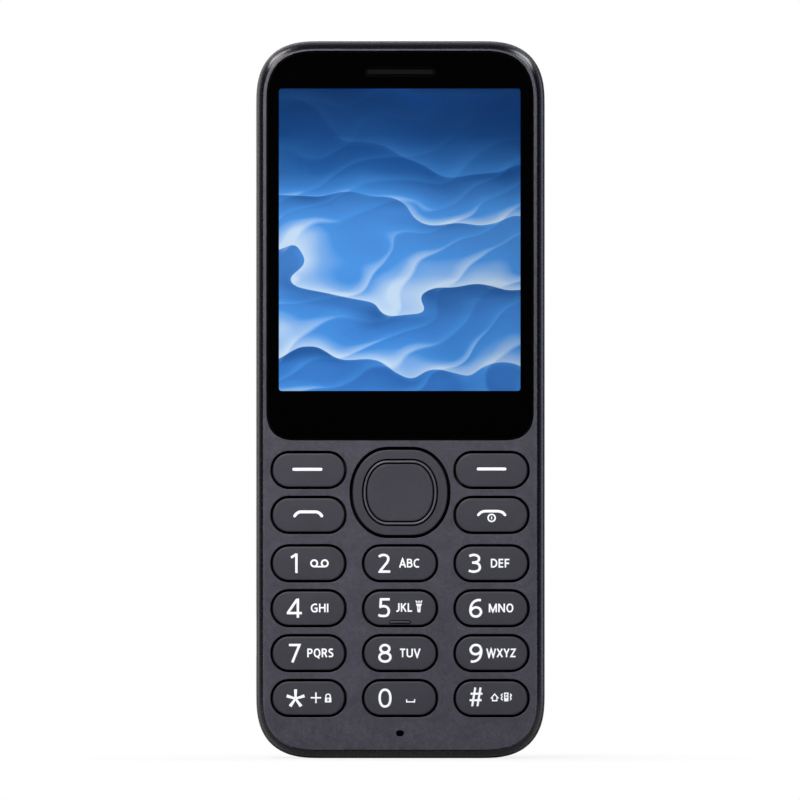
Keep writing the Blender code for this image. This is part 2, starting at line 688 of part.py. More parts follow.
def key_opening(column, row):
    x, z = key_centre(column, row)
    return centred(x, z, KEY_OPENING_WIDTH, KEY_OPENING_HEIGHT, KEY_OPENING_CORNER, steps=KEY_STEPS)


def nav_loop(width, height, corner_width, corner_height, inset):
    """An outline about the ring's centre, with corners taller than they are wide."""
    half_width = width / 2 - inset
    half_height = height / 2 - inset
    reach = (corner_width - inset, corner_height - inset)
    return rounded(
        -half_width, half_width, NAV_Z - half_height, NAV_Z + half_height, reach, steps=NAV_STEPS
    )


def nav_outline(inset):
    return nav_loop(NAV_OPENING_WIDTH, NAV_OPENING_HEIGHT, NAV_CORNER_WIDTH, NAV_CORNER_HEIGHT, inset)


def select_outline(inset):
    """The ring's inner opening, drawn in by inset, on the same corner centres as the ring."""
    corner_width = NAV_CORNER_WIDTH - NAV_BAND_SIDE
    corner_height = NAV_CORNER_HEIGHT - NAV_BAND_END
    return nav_loop(SELECT_OPENING_WIDTH, SELECT_OPENING_HEIGHT, corner_width, corner_height, inset)


def window_outline(inset):
    """The window's outline. Its upper corners run even with the phone's own."""
    lower = WINDOW_LOWER_CORNER - inset
    side_inset = WINDOW_BORDER_SIDE + inset
    top_inset = WINDOW_BORDER_TOP + inset
    half_width = BODY_WIDTH / 2 - side_inset
    return rounded(
        -half_width,
        half_width,
        WINDOW_BOTTOM + inset,
        BODY_HEIGHT - top_inset,
        (lower, lower),
        (CORNER_REACH - side_inset, CORNER_REACH - top_inset),
        CORNER_EXPONENT,
        WINDOW_STEPS,
    )


def display_outline(inset, steps=PLAIN_STEPS):
    half_width = DISPLAY_WIDTH / 2 - inset
    corner = max(DISPLAY_CORNER - inset, MERGE)
    bottom = DISPLAY_BOTTOM + inset
    top = DISPLAY_TOP - inset
    return rounded(-half_width, half_width, bottom, top, (corner, corner), steps=steps)


def housing_profile():
    """The insets of the sides, bottom and top, and the depth, from the face's edge to the parting line."""
    start = math.radians(FLANK_START_ANGLE)
    points = []
    for step in range(FLANK_STEPS + 1):
        angle = start + (math.pi / 2 - start) * step / FLANK_STEPS
        inward = 1 - (math.sin(angle) - math.sin(start)) / (1 - math.sin(start))
        down = 1 - math.cos(angle) / math.cos(start)
        side = COVER_STEP + (FACE_INSET_SIDE - COVER_STEP) * inward
        bottom = COVER_STEP + (FACE_INSET_BOTTOM - COVER_STEP) * inward
        top = COVER_STEP + (FACE_INSET_TOP - COVER_STEP) * inward
        depth = FACE_EDGE_DEPTH + (PARTING_DEPTH - FACE_EDGE_DEPTH) * down
        points.append((side, bottom, top, depth))
    return points


def make_front_housing(materials, phone):
    insets = (FACE_INSET_SIDE, FACE_INSET_BOTTOM, FACE_INSET_TOP)
    stack = [section(body_outline(*(inset + FACE_EDGE for inset in insets)), 0)]
    for side, bottom, top, depth in housing_profile():
        stack.append(section(body_outline(side, bottom, top), depth))
    cavity = body_outline(CAVITY_INSET_SIDE, CAVITY_INSET_END)
    stack.append(section(cavity, PARTING_DEPTH))
    stack.append(section(cavity, FRONT_WALL))
    housing = piece("front_housing", [stack], materials["housing"], phone)

    half_width = BODY_WIDTH / 2 - CAVITY_INSET_SIDE + MERGE
    reach_across = CORNER_REACH - CAVITY_INSET_SIDE + MERGE
    reach_along = CORNER_REACH - CAVITY_INSET_END + MERGE
    window_wall = rounded(
        -half_width,
        half_width,
        WINDOW_BOTTOM - WINDOW_WALL_LEAD,
        BODY_HEIGHT - CAVITY_INSET_END + MERGE,
        (MERGE, MERGE),
        (reach_across, reach_along),
        CORNER_EXPONENT,
        CORNER_STEPS,
    )
    fuse(housing, [prism(window_wall, FRONT_WALL - MERGE, WINDOW_WALL)], "window_wall")
    bosses = []
    for x, z in screw_places():
        bosses.append(prism(circle(x, z, BOSS_RADIUS, BOSS_SIDES), FRONT_WALL - MERGE, BOSS_BACK))
    fuse(housing, bosses, "bosses")
    hole_radius = SCREW_SHANK_RADIUS + SCREW_SIDE_GAP
    holes = []
    for x, z in screw_places():
        hole = circle(x, z, hole_radius, SCREW_SIDES)
        holes.append(prism(hole, BOSS_HOLE_FRONT, BOSS_BACK + OVERRUN))
    cut(housing, holes, "boss_holes")

    display_opening = display_outline(-FIT_GAP, WINDOW_STEPS)
    recess = [
        section(window_outline(0), -OVERRUN),
        section(window_outline(0), WINDOW_SEAT),
        section(display_opening, WINDOW_SEAT),
        section(display_opening, WINDOW_WALL + OVERRUN),
    ]
    cut(housing, [recess], "window_recess")
    slot = [
        section(slot_outline(MESH_LIP + POCKET_GAP), WINDOW_SEAT - OVERRUN),
        section(slot_outline(MESH_LIP + POCKET_GAP), POCKET_FLOOR),
        section(slot_outline(0), POCKET_FLOOR),
        section(slot_outline(0), WINDOW_WALL + OVERRUN),
    ]
    cut(housing, [slot], "earpiece_slot")

    openings = []
    for _, column, row in key_places():
        openings.append(prism(key_opening(column, row), -OVERRUN, FRONT_WALL + OVERRUN))
    openings.append(prism(nav_outline(0), -OVERRUN, FRONT_WALL + OVERRUN))
    openings.append(prism(circle(0, MIC_Z, MIC_HOLE_RADIUS), -OVERRUN, FRONT_WALL + OVERRUN))
    cut(housing, openings, "key_openings")


def slot_outline(outset):
    """The earpiece slot, grown by outset."""
    return centred(0, SLOT_Z, SLOT_WIDTH, SLOT_HEIGHT, SLOT_CORNER, -outset)


def make_window(materials, phone):
    stack = [
        section(window_outline(WINDOW_GAP + WINDOW_EDGE), WINDOW_SET),
        section(window_outline(WINDOW_GAP), WINDOW_SET + WINDOW_EDGE),
        section(window_outline(WINDOW_GAP), WINDOW_SET + WINDOW_THICKNESS),
    ]
    window = piece("display_window", [stack], materials["window"], phone)
    slot = prism(slot_outline(0), -OVERRUN, WINDOW_SEAT)
    cut(window, [slot], "window_slot")


def make_earpiece(materials, phone):
    mesh_back = WINDOW_SEAT + MESH_THICKNESS
    stack = [
        section(slot_outline(-MESH_SIDE_GAP), MESH_SET),
        section(slot_outline(-MESH_SIDE_GAP), WINDOW_SEAT),
        section(slot_outline(MESH_LIP), WINDOW_SEAT),
        section(slot_outline(MESH_LIP), mesh_back),
    ]
    piece("earpiece_mesh", [stack], materials["mesh"], phone)
    front = WINDOW_WALL + FIT_GAP
    outline = rounded(
        -RECEIVER_WIDTH / 2,
        RECEIVER_WIDTH / 2,
        RECEIVER_BOTTOM,
        RECEIVER_TOP,
        (PLAIN_CORNER, PLAIN_CORNER),
    )
    receiver = prism(outline, front, front + RECEIVER_THICKNESS)
    piece("earpiece_receiver", [receiver], materials["steel"], phone)


def make_display(materials, phone):
    glass_back = WINDOW_SEAT + DISPLAY_GLASS_THICKNESS
    stack = [
        section(display_outline(DISPLAY_GLASS_INSET), WINDOW_SEAT),
        section(display_outline(DISPLAY_GLASS_INSET), glass_back),
        section(display_outline(0), glass_back),
        section(display_outline(0), DISPLAY_BACK),
    ]
    piece("display_module", [stack], materials["screen"], phone)

    half_width = BRACKET_WIDTH / 2
    corner = (PLAIN_CORNER, PLAIN_CORNER)
    outer = rounded(-half_width, half_width, BRACKET_BOTTOM, BRACKET_TOP, corner)
    inner_half = half_width - BRACKET_BAR
    inner_bottom = BRACKET_BOTTOM + BRACKET_BAR
    inner = rounded(-inner_half, inner_half, inner_bottom, BRACKET_TOP - BRACKET_BAR, corner)
    back = BRACKET_FRONT + BRACKET_THICKNESS
    ring = [
        section(outer, BRACKET_FRONT),
        section(outer, back),
        section(inner, back),
        section(inner, BRACKET_FRONT),
    ]
    piece("display_bracket", [ring], materials["plastic"], phone, ring=True)

    near = BRACKET_FRONT
    far = BOARD_FRONT - STACK_GAP - FLEX_THICKNESS
    bends = (
        (FLEX_TOP, near),
        (FLEX_BEND_TOP, near),
        (FLEX_BEND_BOTTOM, far),
        (FLEX_BOTTOM, far),
    )
    stack = []
    for height, depth in bends:
        strip = plain_box(0, depth + FLEX_THICKNESS / 2, FLEX_WIDTH, FLEX_THICKNESS)
        stack.append(level(strip, height))
    piece("display_flex", [stack], materials["copper"], phone)


def make_key(name, column, row, materials, phone):
    """A key cap with a lip behind the face that keeps it in. The inner lip clears the nav ring."""
    x, z = key_centre(column, row)
    width = KEY_OPENING_WIDTH - 2 * KEY_GAP
    height = KEY_OPENING_HEIGHT - 2 * KEY_GAP
    corner = KEY_OPENING_CORNER - KEY_GAP
    crown = centred(x, z, width, height, corner, KEY_EDGE, KEY_STEPS)
    cap = centred(x, z, width, height, corner, 0, KEY_STEPS)
    reach_side = KEY_OPENING_WIDTH / 2 + KEY_LIP_SIDE
    reach_inner = KEY_OPENING_WIDTH / 2 - KEY_LIP_BACKSET if row > 3 else reach_side
    left = x - (reach_inner if column > 0 else reach_side)
    right = x + (reach_inner if column < 0 else reach_side)
    reach_end = KEY_OPENING_HEIGHT / 2 + KEY_LIP_END
    lip_corner = (PLAIN_CORNER, PLAIN_CORNER)
    lip = rounded(left, right, z - reach_end, z + reach_end, lip_corner, steps=KEY_STEPS)
    cap_back = (KEY_FLANGE_FRONT + KEY_FLANGE_BACK) / 2 if row > 3 else KEY_FLANGE_FRONT
    stack = [
        section(crown, -KEY_PROUD),
        section(cap, KEY_EDGE - KEY_PROUD),
        section(cap, cap_back),
    ]
    plate = prism(lip, KEY_FLANGE_FRONT, KEY_FLANGE_BACK)
    if row <= 3:
        stack += plate
    pivot = Vector((x, at_depth(KEY_FLANGE_BACK), z))
    key = piece(name, [stack], materials["keys"], phone, pivot=pivot)
    if row > 3:
        fuse(key, [plate], name + "_lip")
    return key


def make_keys(materials, phone):
    for name, column, row in key_places():
        key = make_key(name, column, row, materials, phone)
        if name == "key_5":
            x, z = key_centre(column, row)
            pip = centred(x, z - PIP_DROP, PIP_WIDTH, PIP_HEIGHT, PIP_CORNER)
            fuse(key, [prism(pip, -KEY_PROUD - PIP_PROUD, MERGE - KEY_PROUD)], "key_5_pip")


def leg_places():
    """The four legs of the navigation ring, in the middle of its rear wall."""
    wall_inner = SELECT_OPENING_WIDTH / 2 + SELECT_LIP + FIT_GAP
    wall_outer = NAV_OPENING_WIDTH / 2 + NAV_LIP
    across = (wall_inner + wall_outer) / 2
    along = across - (NAV_OPENING_WIDTH - NAV_OPENING_HEIGHT) / 2
    return ((-across, NAV_Z), (across, NAV_Z), (0, NAV_Z - along), (0, NAV_Z + along))


def make_nav(materials, phone):
    pivot = Vector((0, at_depth(NAV_PAD_FRONT), NAV_Z))
    joint = make_empty("nav_pivot", pivot, phone)
    sides = len(nav_outline(0))
    pad_bore = circle(0, NAV_Z, SELECT_STEM_RADIUS + NAV_PAD_STEM_GAP, sides)
    pad_edge = nav_outline(NAV_GAP - NAV_LIP)
    pad_stack = [
        section(pad_edge, NAV_PAD_FRONT),
        section(pad_edge, NAV_PAD_BACK),
        section(pad_bore, NAV_PAD_BACK),
        section(pad_bore, NAV_PAD_FRONT),
    ]
    pad = piece("nav_pad", [pad_stack], materials["silicone"], joint, ring=True, pivot=pivot)
    clearance = LEG_RADIUS + LEG_CLEARANCE
    notches = []
    for x, z in leg_places():
        notch = circle(x, z, clearance, LEG_SIDES)
        notches.append(prism(notch, NAV_PAD_FRONT - MERGE, NAV_PAD_BACK + MERGE))
    cut(pad, notches, "leg_notches")

    recess = select_outline(-SELECT_LIP - FIT_GAP)
    stack = [
        section(select_outline(-SELECT_EDGE), -KEY_PROUD),
        section(nav_outline(NAV_GAP + NAV_EDGE), -KEY_PROUD),
        section(nav_outline(NAV_GAP), NAV_EDGE - KEY_PROUD),
        section(nav_outline(NAV_GAP), NAV_FLANGE_FRONT),
        section(nav_outline(-NAV_LIP), NAV_FLANGE_FRONT),
        section(nav_outline(-NAV_LIP), NAV_RING_BACK),
        section(recess, NAV_RING_BACK),
        section(recess, NAV_RING_FLOOR),
        section(select_outline(0), NAV_RING_FLOOR),
        section(select_outline(0), SELECT_EDGE - KEY_PROUD),
    ]
    ring = piece("nav_ring", [stack], materials["keys"], pad, ring=True, pivot=pivot)
    legs = []
    for x, z in leg_places():
        legs.append(prism(circle(x, z, LEG_RADIUS, LEG_SIDES), NAV_RING_BACK - MERGE, LEG_BACK))
    fuse(ring, legs, "nav_legs")


def make_select_key(materials, phone):
    """The select key: a pad inside a fine groove and bead, a lip inside the ring, and a stem."""
    groove_floor = SELECT_GROOVE_DEPTH - KEY_PROUD
    bead = SELECT_GAP + SELECT_EDGE + SELECT_BEAD
    stem = circle(0, NAV_Z, SELECT_STEM_RADIUS, len(select_outline(0)))
    stack = [
        section(select_outline(bead + SELECT_GROOVE), -KEY_PROUD),
        section(select_outline(bead + SELECT_GROOVE), groove_floor),
        section(select_outline(bead), groove_floor),
        section(select_outline(bead), -KEY_PROUD),
        section(select_outline(SELECT_GAP + SELECT_EDGE), -KEY_PROUD),
        section(select_outline(SELECT_GAP), SELECT_EDGE - KEY_PROUD),
        section(select_outline(SELECT_GAP), SELECT_FLANGE_FRONT),
        section(select_outline(-SELECT_LIP), SELECT_FLANGE_FRONT),
        section(select_outline(-SELECT_LIP), SELECT_FLANGE_BACK),
        section(stem, SELECT_FLANGE_BACK),
        section(stem, SELECT_STEM_BACK),
    ]
    pivot = Vector((0, at_depth(SELECT_FLANGE_BACK), NAV_Z))
    piece("select_key", [stack], materials["keys"], phone, pivot=pivot)


def make_membrane(materials, phone):
    corner = (MEMBRANE_CORNER, MEMBRANE_CORNER)
    half = MEMBRANE_WIDTH / 2
    outline = rounded(-half, half, MEMBRANE_BOTTOM, MEMBRANE_TOP, corner)
    web = prism(outline, MEMBRANE_FRONT, MEMBRANE_BACK)
    membrane = piece("keypad_membrane", [web], materials["silicone"], phone)
    hole = nav_outline(NAV_GAP - NAV_LIP - MEMBRANE_NAV_GAP)
    cut(membrane, [prism(hole, MEMBRANE_FRONT - OVERRUN, MEMBRANE_BACK + OVERRUN)], "membrane_nav_hole")
    pads = []
    nubs = []
    middle = (MEMBRANE_FRONT + MEMBRANE_BACK) / 2
    for _, column, row in key_places():
        x, z = key_centre(column, row)
        pad = plain_box(x, z, MEMBRANE_PAD_WIDTH, MEMBRANE_PAD_HEIGHT)
        pads.append(prism(pad, MEMBRANE_PAD_FRONT, middle))
        nubs.append(prism(circle(x, z, NUB_RADIUS, NUB_SIDES), middle, NUB_BACK))
    fuse(membrane, pads, "membrane_pads")
    fuse(membrane, nubs, "membrane_nubs")


def make_dome_sheet(materials, phone):
    corner = (MEMBRANE_CORNER, MEMBRANE_CORNER)
    half = DOME_SHEET_WIDTH / 2
    outline = rounded(-half, half, DOME_SHEET_BOTTOM, DOME_SHEET_TOP, corner)
    film = prism(outline, DOME_SHEET_FRONT, DOME_SHEET_BACK)
    sheet = piece("dome_sheet", [film], materials["film"], phone)
    places = [key_centre(column, row) for _, column, row in key_places()]
    places.append((0, NAV_Z))
    places.extend(leg_places())
    middle = (DOME_SHEET_FRONT + DOME_SHEET_BACK) / 2
    domes = []
    for x, z in places:
        base = circle(x, z, DOME_RADIUS, DOME_SIDES)
        crown = circle(x, z, DOME_CROWN_RADIUS, DOME_SIDES)
        foot = section(base, DOME_SHEET_FRONT)
        domes.append([section(base, middle), foot, section(crown, DOME_FRONT)])
    fuse(sheet, domes, "domes")


def chip_places():
    """Chips above the card holders, up to the body's top, and below the shields, down to its end."""
    places = []
    for across, along in UPPER_CHIP_SHARES:
        places.append((across * BODY_WIDTH / 2, HOLDER_TOP + along * (BODY_HEIGHT - HOLDER_TOP)))
    for across, along in LOWER_CHIP_SHARES:
        places.append((across * BODY_WIDTH / 2, along * SHIELD_BOTTOM))
    return places


def make_board(materials, phone):
    outline = body_outline(BOARD_INSET_SIDE, BOARD_INSET_END)
    board = piece("main_board", [prism(outline, BOARD_FRONT, BOARD_BACK)], materials["board"], phone)
    radius = SCREW_SHANK_RADIUS + 2 * SCREW_SIDE_GAP
    holes = []
    for x, z in screw_places():
        hole = circle(x, z, radius, SCREW_SIDES)
        holes.append(prism(hole, BOARD_FRONT - OVERRUN, BOARD_BACK + OVERRUN))
    cut(board, holes, "board_holes")
    chips = []
    for x, z in chip_places():
        chip = centred(x, z, CHIP_SIDE, CHIP_SIDE, PLAIN_CORNER, steps=1)
        chips.append(prism(chip, BOARD_BACK - MERGE, BOARD_BACK + CHIP_HEIGHT))
    fuse(board, chips, "chips")
    for name, x in (("radio_shield", -SHIELD_X), ("processor_shield", SHIELD_X)):
        can = centred(x, SHIELD_Z, SHIELD_WIDTH, SHIELD_HEIGHT, SHIELD_CORNER)
        piece(name, [prism(can, PART_FRONT, PART_FRONT + SHIELD_THICKNESS)], materials["steel"], phone)


def make_microphone(materials, phone):
    capsule = prism(circle(0, MIC_Z, MIC_RADIUS), MIC_FRONT, MIC_BACK)
    piece("microphone", [capsule], materials["steel"], phone)
    bore = circle(0, MIC_Z, MIC_HOLE_RADIUS)
    seat = circle(0, MIC_Z, MIC_RADIUS + MIC_SEAL_GAP)
    outer = circle(0, MIC_Z, MIC_SEAL_RADIUS)
    front = FRONT_WALL + FIT_GAP
    floor = MIC_FRONT - MIC_SEAL_GAP
    back = MIC_BACK - STACK_GAP
    seal = [
        section(bore, front),
        section(outer, front),
        section(outer, back),
        section(seat, back),
        section(seat, floor),
        section(bore, floor),
    ]
    piece("mic_seal", [seal], materials["silicone"], phone, ring=True)


def usb_shell(inset):
    """The port's section in X and depth: a box whose two front corners are sloped."""
    half = USB_WIDTH / 2 - inset
    front = PART_FRONT + inset
    back = PART_FRONT + USB_THICKNESS - inset
    return (
        (-half, back),
        (-half, front + USB_CORNER_HEIGHT),
        (-half + USB_CORNER_WIDTH, front),
        (half - USB_CORNER_WIDTH, front),
        (half, front + USB_CORNER_HEIGHT),
        (half, back),
    )


def make_usb(materials, phone):
    bottom = COVER_WALL + FIT_GAP
    shell = upright(usb_shell(0), bottom, bottom + USB_HEIGHT)
    port = piece("usb_port", [shell], materials["steel"], phone)
    mouth_top = bottom + USB_MOUTH_DEPTH
    cut(port, [upright(usb_shell(USB_SHEET), bottom - OVERRUN, mouth_top)], "usb_mouth")
    tongue = plain_box(0, PART_FRONT + USB_THICKNESS / 2, USB_TONGUE_WIDTH, USB_TONGUE_THICKNESS)
    fuse(port, [upright(tongue, bottom + FIT_GAP, mouth_top + MERGE)], "usb_tongue")


def jack_axis_depth():
    return PART_FRONT + JACK_THICKNESS / 2


def make_jack(materials, phone):
    top = BODY_HEIGHT - COVER_WALL - FIT_GAP
    bottom = top - JACK_HEIGHT
    left = JACK_X - JACK_WIDTH / 2
    right = JACK_X + JACK_WIDTH / 2
    corner = (PLAIN_CORNER, PLAIN_CORNER)
    body = rounded(left, right, PART_FRONT, PART_FRONT + JACK_THICKNESS, corner)
    jack = piece("audio_jack", [upright(body, bottom, top)], materials["plastic"], phone)
    bore = circle(JACK_X, jack_axis_depth(), JACK_BORE_RADIUS)
    cut(jack, [upright(bore, top - JACK_BORE_DEPTH, top + OVERRUN)], "jack_bore")


def make_chassis(materials, phone):
    outer = body_outline(CHASSIS_INSET_SIDE, CHASSIS_INSET_END)
    edged = body_outline(CHASSIS_INSET_SIDE + CHASSIS_EDGE, CHASSIS_INSET_END + CHASSIS_EDGE)
    inner = body_outline(CHASSIS_INSET_SIDE + CHASSIS_WALL, CHASSIS_INSET_END + CHASSIS_WALL)
    stack = [
        section(inner, CHASSIS_FLOOR_FRONT),
        section(inner, CHASSIS_FRONT),
        section(outer, CHASSIS_FRONT),
        section(outer, CHASSIS_BACK - CHASSIS_EDGE),
        section(edged, CHASSIS_BACK),
    ]
    chassis = piece("rear_chassis", [stack], materials["plastic"], phone)

    clearances = []
    for x, z in screw_places():
        around = circle(x, z, BOSS_RADIUS + FIT_GAP, BOSS_SIDES)
        clearances.append(prism(around, CHASSIS_FRONT - OVERRUN, BOSS_BACK + FIT_GAP))
    cut(chassis, clearances, "boss_clearances")
    columns = []
    for x, z in screw_places():
        column = circle(x, z, COLUMN_RADIUS, BOSS_SIDES)
        columns.append(prism(column, COLUMN_FRONT, CHASSIS_FLOOR_FRONT + MERGE))
    fuse(chassis, columns, "screw_columns")

    half = BATTERY_WIDTH / 2 + BAY_GAP
    bay_bottom = BATTERY_BOTTOM - BAY_GAP
    bay_top = BATTERY_TOP + BAY_GAP
    bay = rounded(-half, half, bay_bottom, bay_top, (BATTERY_CORNER, BATTERY_CORNER))
    pocket_front = CHASSIS_FLOOR_FRONT - MERGE
    corner = (PLAIN_CORNER, PLAIN_CORNER)
    side = POCKET_HALF_WIDTH
    top_pocket = rounded(-side, side, TOP_POCKET_BOTTOM, TOP_POCKET_TOP, corner)
    bottom_pocket = rounded(-side, side, BOTTOM_POCKET_BOTTOM, BOTTOM_POCKET_TOP, corner)
    hollows = [
        prism(bay, CHASSIS_FLOOR_BACK, CHASSIS_BACK + OVERRUN),
        prism(top_pocket, pocket_front, CHASSIS_ROOF_FRONT),
        prism(bottom_pocket, pocket_front, CHASSIS_ROOF_FRONT),
    ]
    cut(chassis, hollows, "bay_and_pockets")
    cut(chassis, chassis_windows(), "chassis_windows")
    cut(chassis, chassis_ports(), "chassis_ports")

    seats = []
    hole_radius = SCREW_SHANK_RADIUS + SCREW_SIDE_GAP
    for x, z in screw_places():
        hole = circle(x, z, hole_radius, SCREW_SIDES)
        head = circle(x, z, SCREW_HEAD_BORE, SCREW_SIDES)
        seats.append(
            [
                section(hole, COLUMN_FRONT - OVERRUN),
                section(hole, SCREW_SEAT),
                section(head, SCREW_SEAT),
                section(head, CHASSIS_BACK + OVERRUN),
            ]
        )
    cut(chassis, seats, "screw_seats")


def chassis_windows():
    """Openings through the chassis floor and roofs, for the parts that show or reach through it."""
    floor_front = CHASSIS_FLOOR_FRONT - MERGE
    floor_back = CHASSIS_FLOOR_BACK + MERGE
    roof_front = CHASSIS_ROOF_FRONT - MERGE
    roof_back = CHASSIS_BACK + OVERRUN
    sim = centred(SIM_X, HOLDER_Z, SIM_WIDTH, SIM_HEIGHT, PLAIN_CORNER, -FIT_GAP, 1)
    card = centred(CARD_X, HOLDER_Z, CARD_WIDTH, CARD_HEIGHT, PLAIN_CORNER, -FIT_GAP, 1)
    camera = circle(0, CAMERA_Z, CAMERA_BARREL_RADIUS + FIT_GAP)
    torch = circle(TORCH_X, CAMERA_Z, TORCH_PIPE_RADIUS + FIT_GAP)
    speaker = centred(0, SPEAKER_Z, SPEAKER_WIDTH, SPEAKER_HEIGHT, SPEAKER_CORNER, -FIT_GAP)
    half = CONTACT_BLOCK_WIDTH / 2 + FIT_GAP
    corner = (MERGE, MERGE)
    bay_bottom = BATTERY_BOTTOM - BAY_GAP
    contacts = rounded(-half, half, CONTACT_BLOCK_BOTTOM - FIT_GAP, bay_bottom + MERGE, corner, steps=1)
    return [
        prism(sim, floor_front, floor_back),
        prism(card, floor_front, floor_back),
        prism(camera, roof_front, roof_back),
        prism(torch, roof_front, roof_back),
        prism(speaker, roof_front, roof_back),
        prism(contacts, CHASSIS_FLOOR_BACK, roof_back),
    ]


def chassis_ports():
    """Ways through the chassis ends for the port and the jack, each with its seat behind."""
    usb_half = USB_WIDTH / 2 + FIT_GAP
    usb_back = PART_FRONT + USB_THICKNESS + FIT_GAP
    front = CHASSIS_FRONT - OVERRUN
    corner = (MERGE, MERGE)
    usb = rounded(-usb_half, usb_half, front, usb_back, corner, steps=1)
    jack_left = JACK_X - JACK_WIDTH / 2 - FIT_GAP
    jack_right = JACK_X + JACK_WIDTH / 2 + FIT_GAP
    jack_back = PART_FRONT + JACK_THICKNESS + FIT_GAP
    jack = rounded(jack_left, jack_right, PART_FRONT - FIT_GAP, jack_back, corner, steps=1)
    jack_bottom = BODY_HEIGHT - COVER_WALL - JACK_HEIGHT - 2 * FIT_GAP
    return [
        upright(usb, -OVERRUN, BOTTOM_POCKET_BOTTOM + MERGE),
        upright(jack, jack_bottom, BODY_HEIGHT + OVERRUN),
    ]


def make_screws(materials, phone):
    head_front = SCREW_SEAT + STACK_GAP
    head_back = head_front + SCREW_HEAD_THICKNESS
    for number, (x, z) in enumerate(screw_places(), 1):
        shank = circle(x, z, SCREW_SHANK_RADIUS, SCREW_SIDES)
        head = circle(x, z, SCREW_HEAD_RADIUS, SCREW_SIDES)
        stack = [
            section(shank, SCREW_TIP),
            section(shank, head_front),
            section(head, head_front),
            section(head, head_back),
        ]
        piece(f"screw_{number}", [stack], materials["steel"], phone)


def make_battery(materials, phone):
    z = (BATTERY_BOTTOM + BATTERY_TOP) / 2
    height = BATTERY_TOP - BATTERY_BOTTOM
    edge = centred(0, z, BATTERY_WIDTH, height, BATTERY_CORNER, BATTERY_EDGE)
    side = centred(0, z, BATTERY_WIDTH, height, BATTERY_CORNER)
    stack = [
        section(edge, BATTERY_FRONT),
        section(side, BATTERY_FRONT + BATTERY_EDGE),
        section(side, BATTERY_BACK - BATTERY_EDGE),
        section(edge, BATTERY_BACK),
    ]
    pivot = Vector((0, at_depth(BATTERY_FRONT), z))
    battery = piece("battery", [stack], materials["battery"], phone, pivot=pivot)
    wells = []
    middle = (BATTERY_FRONT + BATTERY_BACK) / 2
    well_depth = BATTERY_WELL_SHARE * (BATTERY_BACK - BATTERY_FRONT)
    for place in (-1, 0, 1):
        well = plain_box(place * BLADE_PITCH, middle, 2 * BLADE_WIDTH, well_depth)
        wells.append(upright(well, BATTERY_BOTTOM - OVERRUN, BATTERY_BOTTOM + FIT_GAP))
    cut(battery, wells, "contact_wells")


def make_contacts(materials, phone):
    half = CONTACT_BLOCK_WIDTH / 2
    corner = (MERGE, MERGE)
    outline = rounded(-half, half, CONTACT_BLOCK_BOTTOM, CONTACT_BLOCK_TOP, corner, steps=1)
    block = piece(
        "battery_contacts",
        [prism(outline, BATTERY_FRONT, CONTACT_BLOCK_BACK)],
        materials["copper"],
        phone,
    )
    middle = (BATTERY_FRONT + CONTACT_BLOCK_BACK) / 2
    root_depth = BLADE_ROOT_SHARE * (CONTACT_BLOCK_BACK - BATTERY_FRONT)
    tip_depth = BLADE_TIP_SHARE * (CONTACT_BLOCK_BACK - BATTERY_FRONT)
    blades = []
    for place in (-1, 0, 1):
        root = plain_box(place * BLADE_PITCH, middle, BLADE_WIDTH, root_depth)
        tip = plain_box(place * BLADE_PITCH, middle, BLADE_WIDTH, tip_depth)
        end = level(tip, CONTACT_BLOCK_TOP + BLADE_REACH)
        blades.append([level(root, CONTACT_BLOCK_TOP - MERGE), end])
    fuse(block, blades, "blades")


def make_card_holder(name, x, width, height, materials, phone):
    """A sheet-metal cage, open at its lower end for the card and windowed at its back."""
    z = HOLDER_Z
    outline = centred(x, z, width, height, PLAIN_CORNER, steps=1)
    holder = piece(name, [prism(outline, PART_FRONT, HOLDER_BACK)], materials["steel"], phone)
    back = HOLDER_BACK - HOLDER_SHEET
    bottom = z - height / 2
    mouth_depth = HOLDER_BACK - PART_FRONT - 2 * HOLDER_SHEET
    mouth = plain_box(x, (PART_FRONT + HOLDER_BACK) / 2, width - 2 * HOLDER_MOUTH_INSET, mouth_depth)
    cut(holder, [upright(mouth, bottom - OVERRUN, bottom + HOLDER_MOUTH_DEPTH)], name + "_mouth")
    window = centred(x, z, HOLDER_WINDOW_WIDTH, HOLDER_WINDOW_HEIGHT, PLAIN_CORNER, steps=1)
    cut(holder, [prism(window, back - HOLDER_SHEET, HOLDER_BACK + OVERRUN)], name + "_window")


def make_camera_and_torch(materials, phone):
    outline = centred(0, CAMERA_Z, CAMERA_SIDE, CAMERA_SIDE, PLAIN_CORNER)
    body = prism(outline, PART_FRONT, CAMERA_BODY_BACK)
    camera = piece("camera_module", [body], materials["plastic"], phone)
    barrel = circle(0, CAMERA_Z, CAMERA_BARREL_RADIUS)
    aperture = circle(0, CAMERA_Z, CAMERA_APERTURE_RADIUS)
    well = CAMERA_BARREL_BACK - CAMERA_APERTURE_DEPTH
    tube = [
        section(barrel, CAMERA_BODY_BACK - MERGE),
        section(barrel, CAMERA_BARREL_BACK),
        section(aperture, CAMERA_BARREL_BACK),
        section(aperture, well),
    ]
    fuse(camera, [tube], "camera_barrel")
    led = centred(TORCH_X, CAMERA_Z, TORCH_LED_SIDE, TORCH_LED_SIDE, PLAIN_CORNER, steps=1)
    chip = prism(led, PART_FRONT, PART_FRONT + TORCH_LED_THICKNESS)
    piece("torch_led", [chip], materials["clear"], phone)


def make_motor(materials, phone):
    can = circle(MOTOR_X, MOTOR_Z, MOTOR_RADIUS)
    hub = circle(MOTOR_X, MOTOR_Z, MOTOR_HUB_RADIUS)
    back = PART_FRONT + MOTOR_THICKNESS
    stack = [
        section(can, PART_FRONT),
        section(can, back),
        section(hub, back),
        section(hub, back + MOTOR_HUB_HEIGHT),
    ]
    piece("vibration_motor", [stack], materials["steel"], phone)


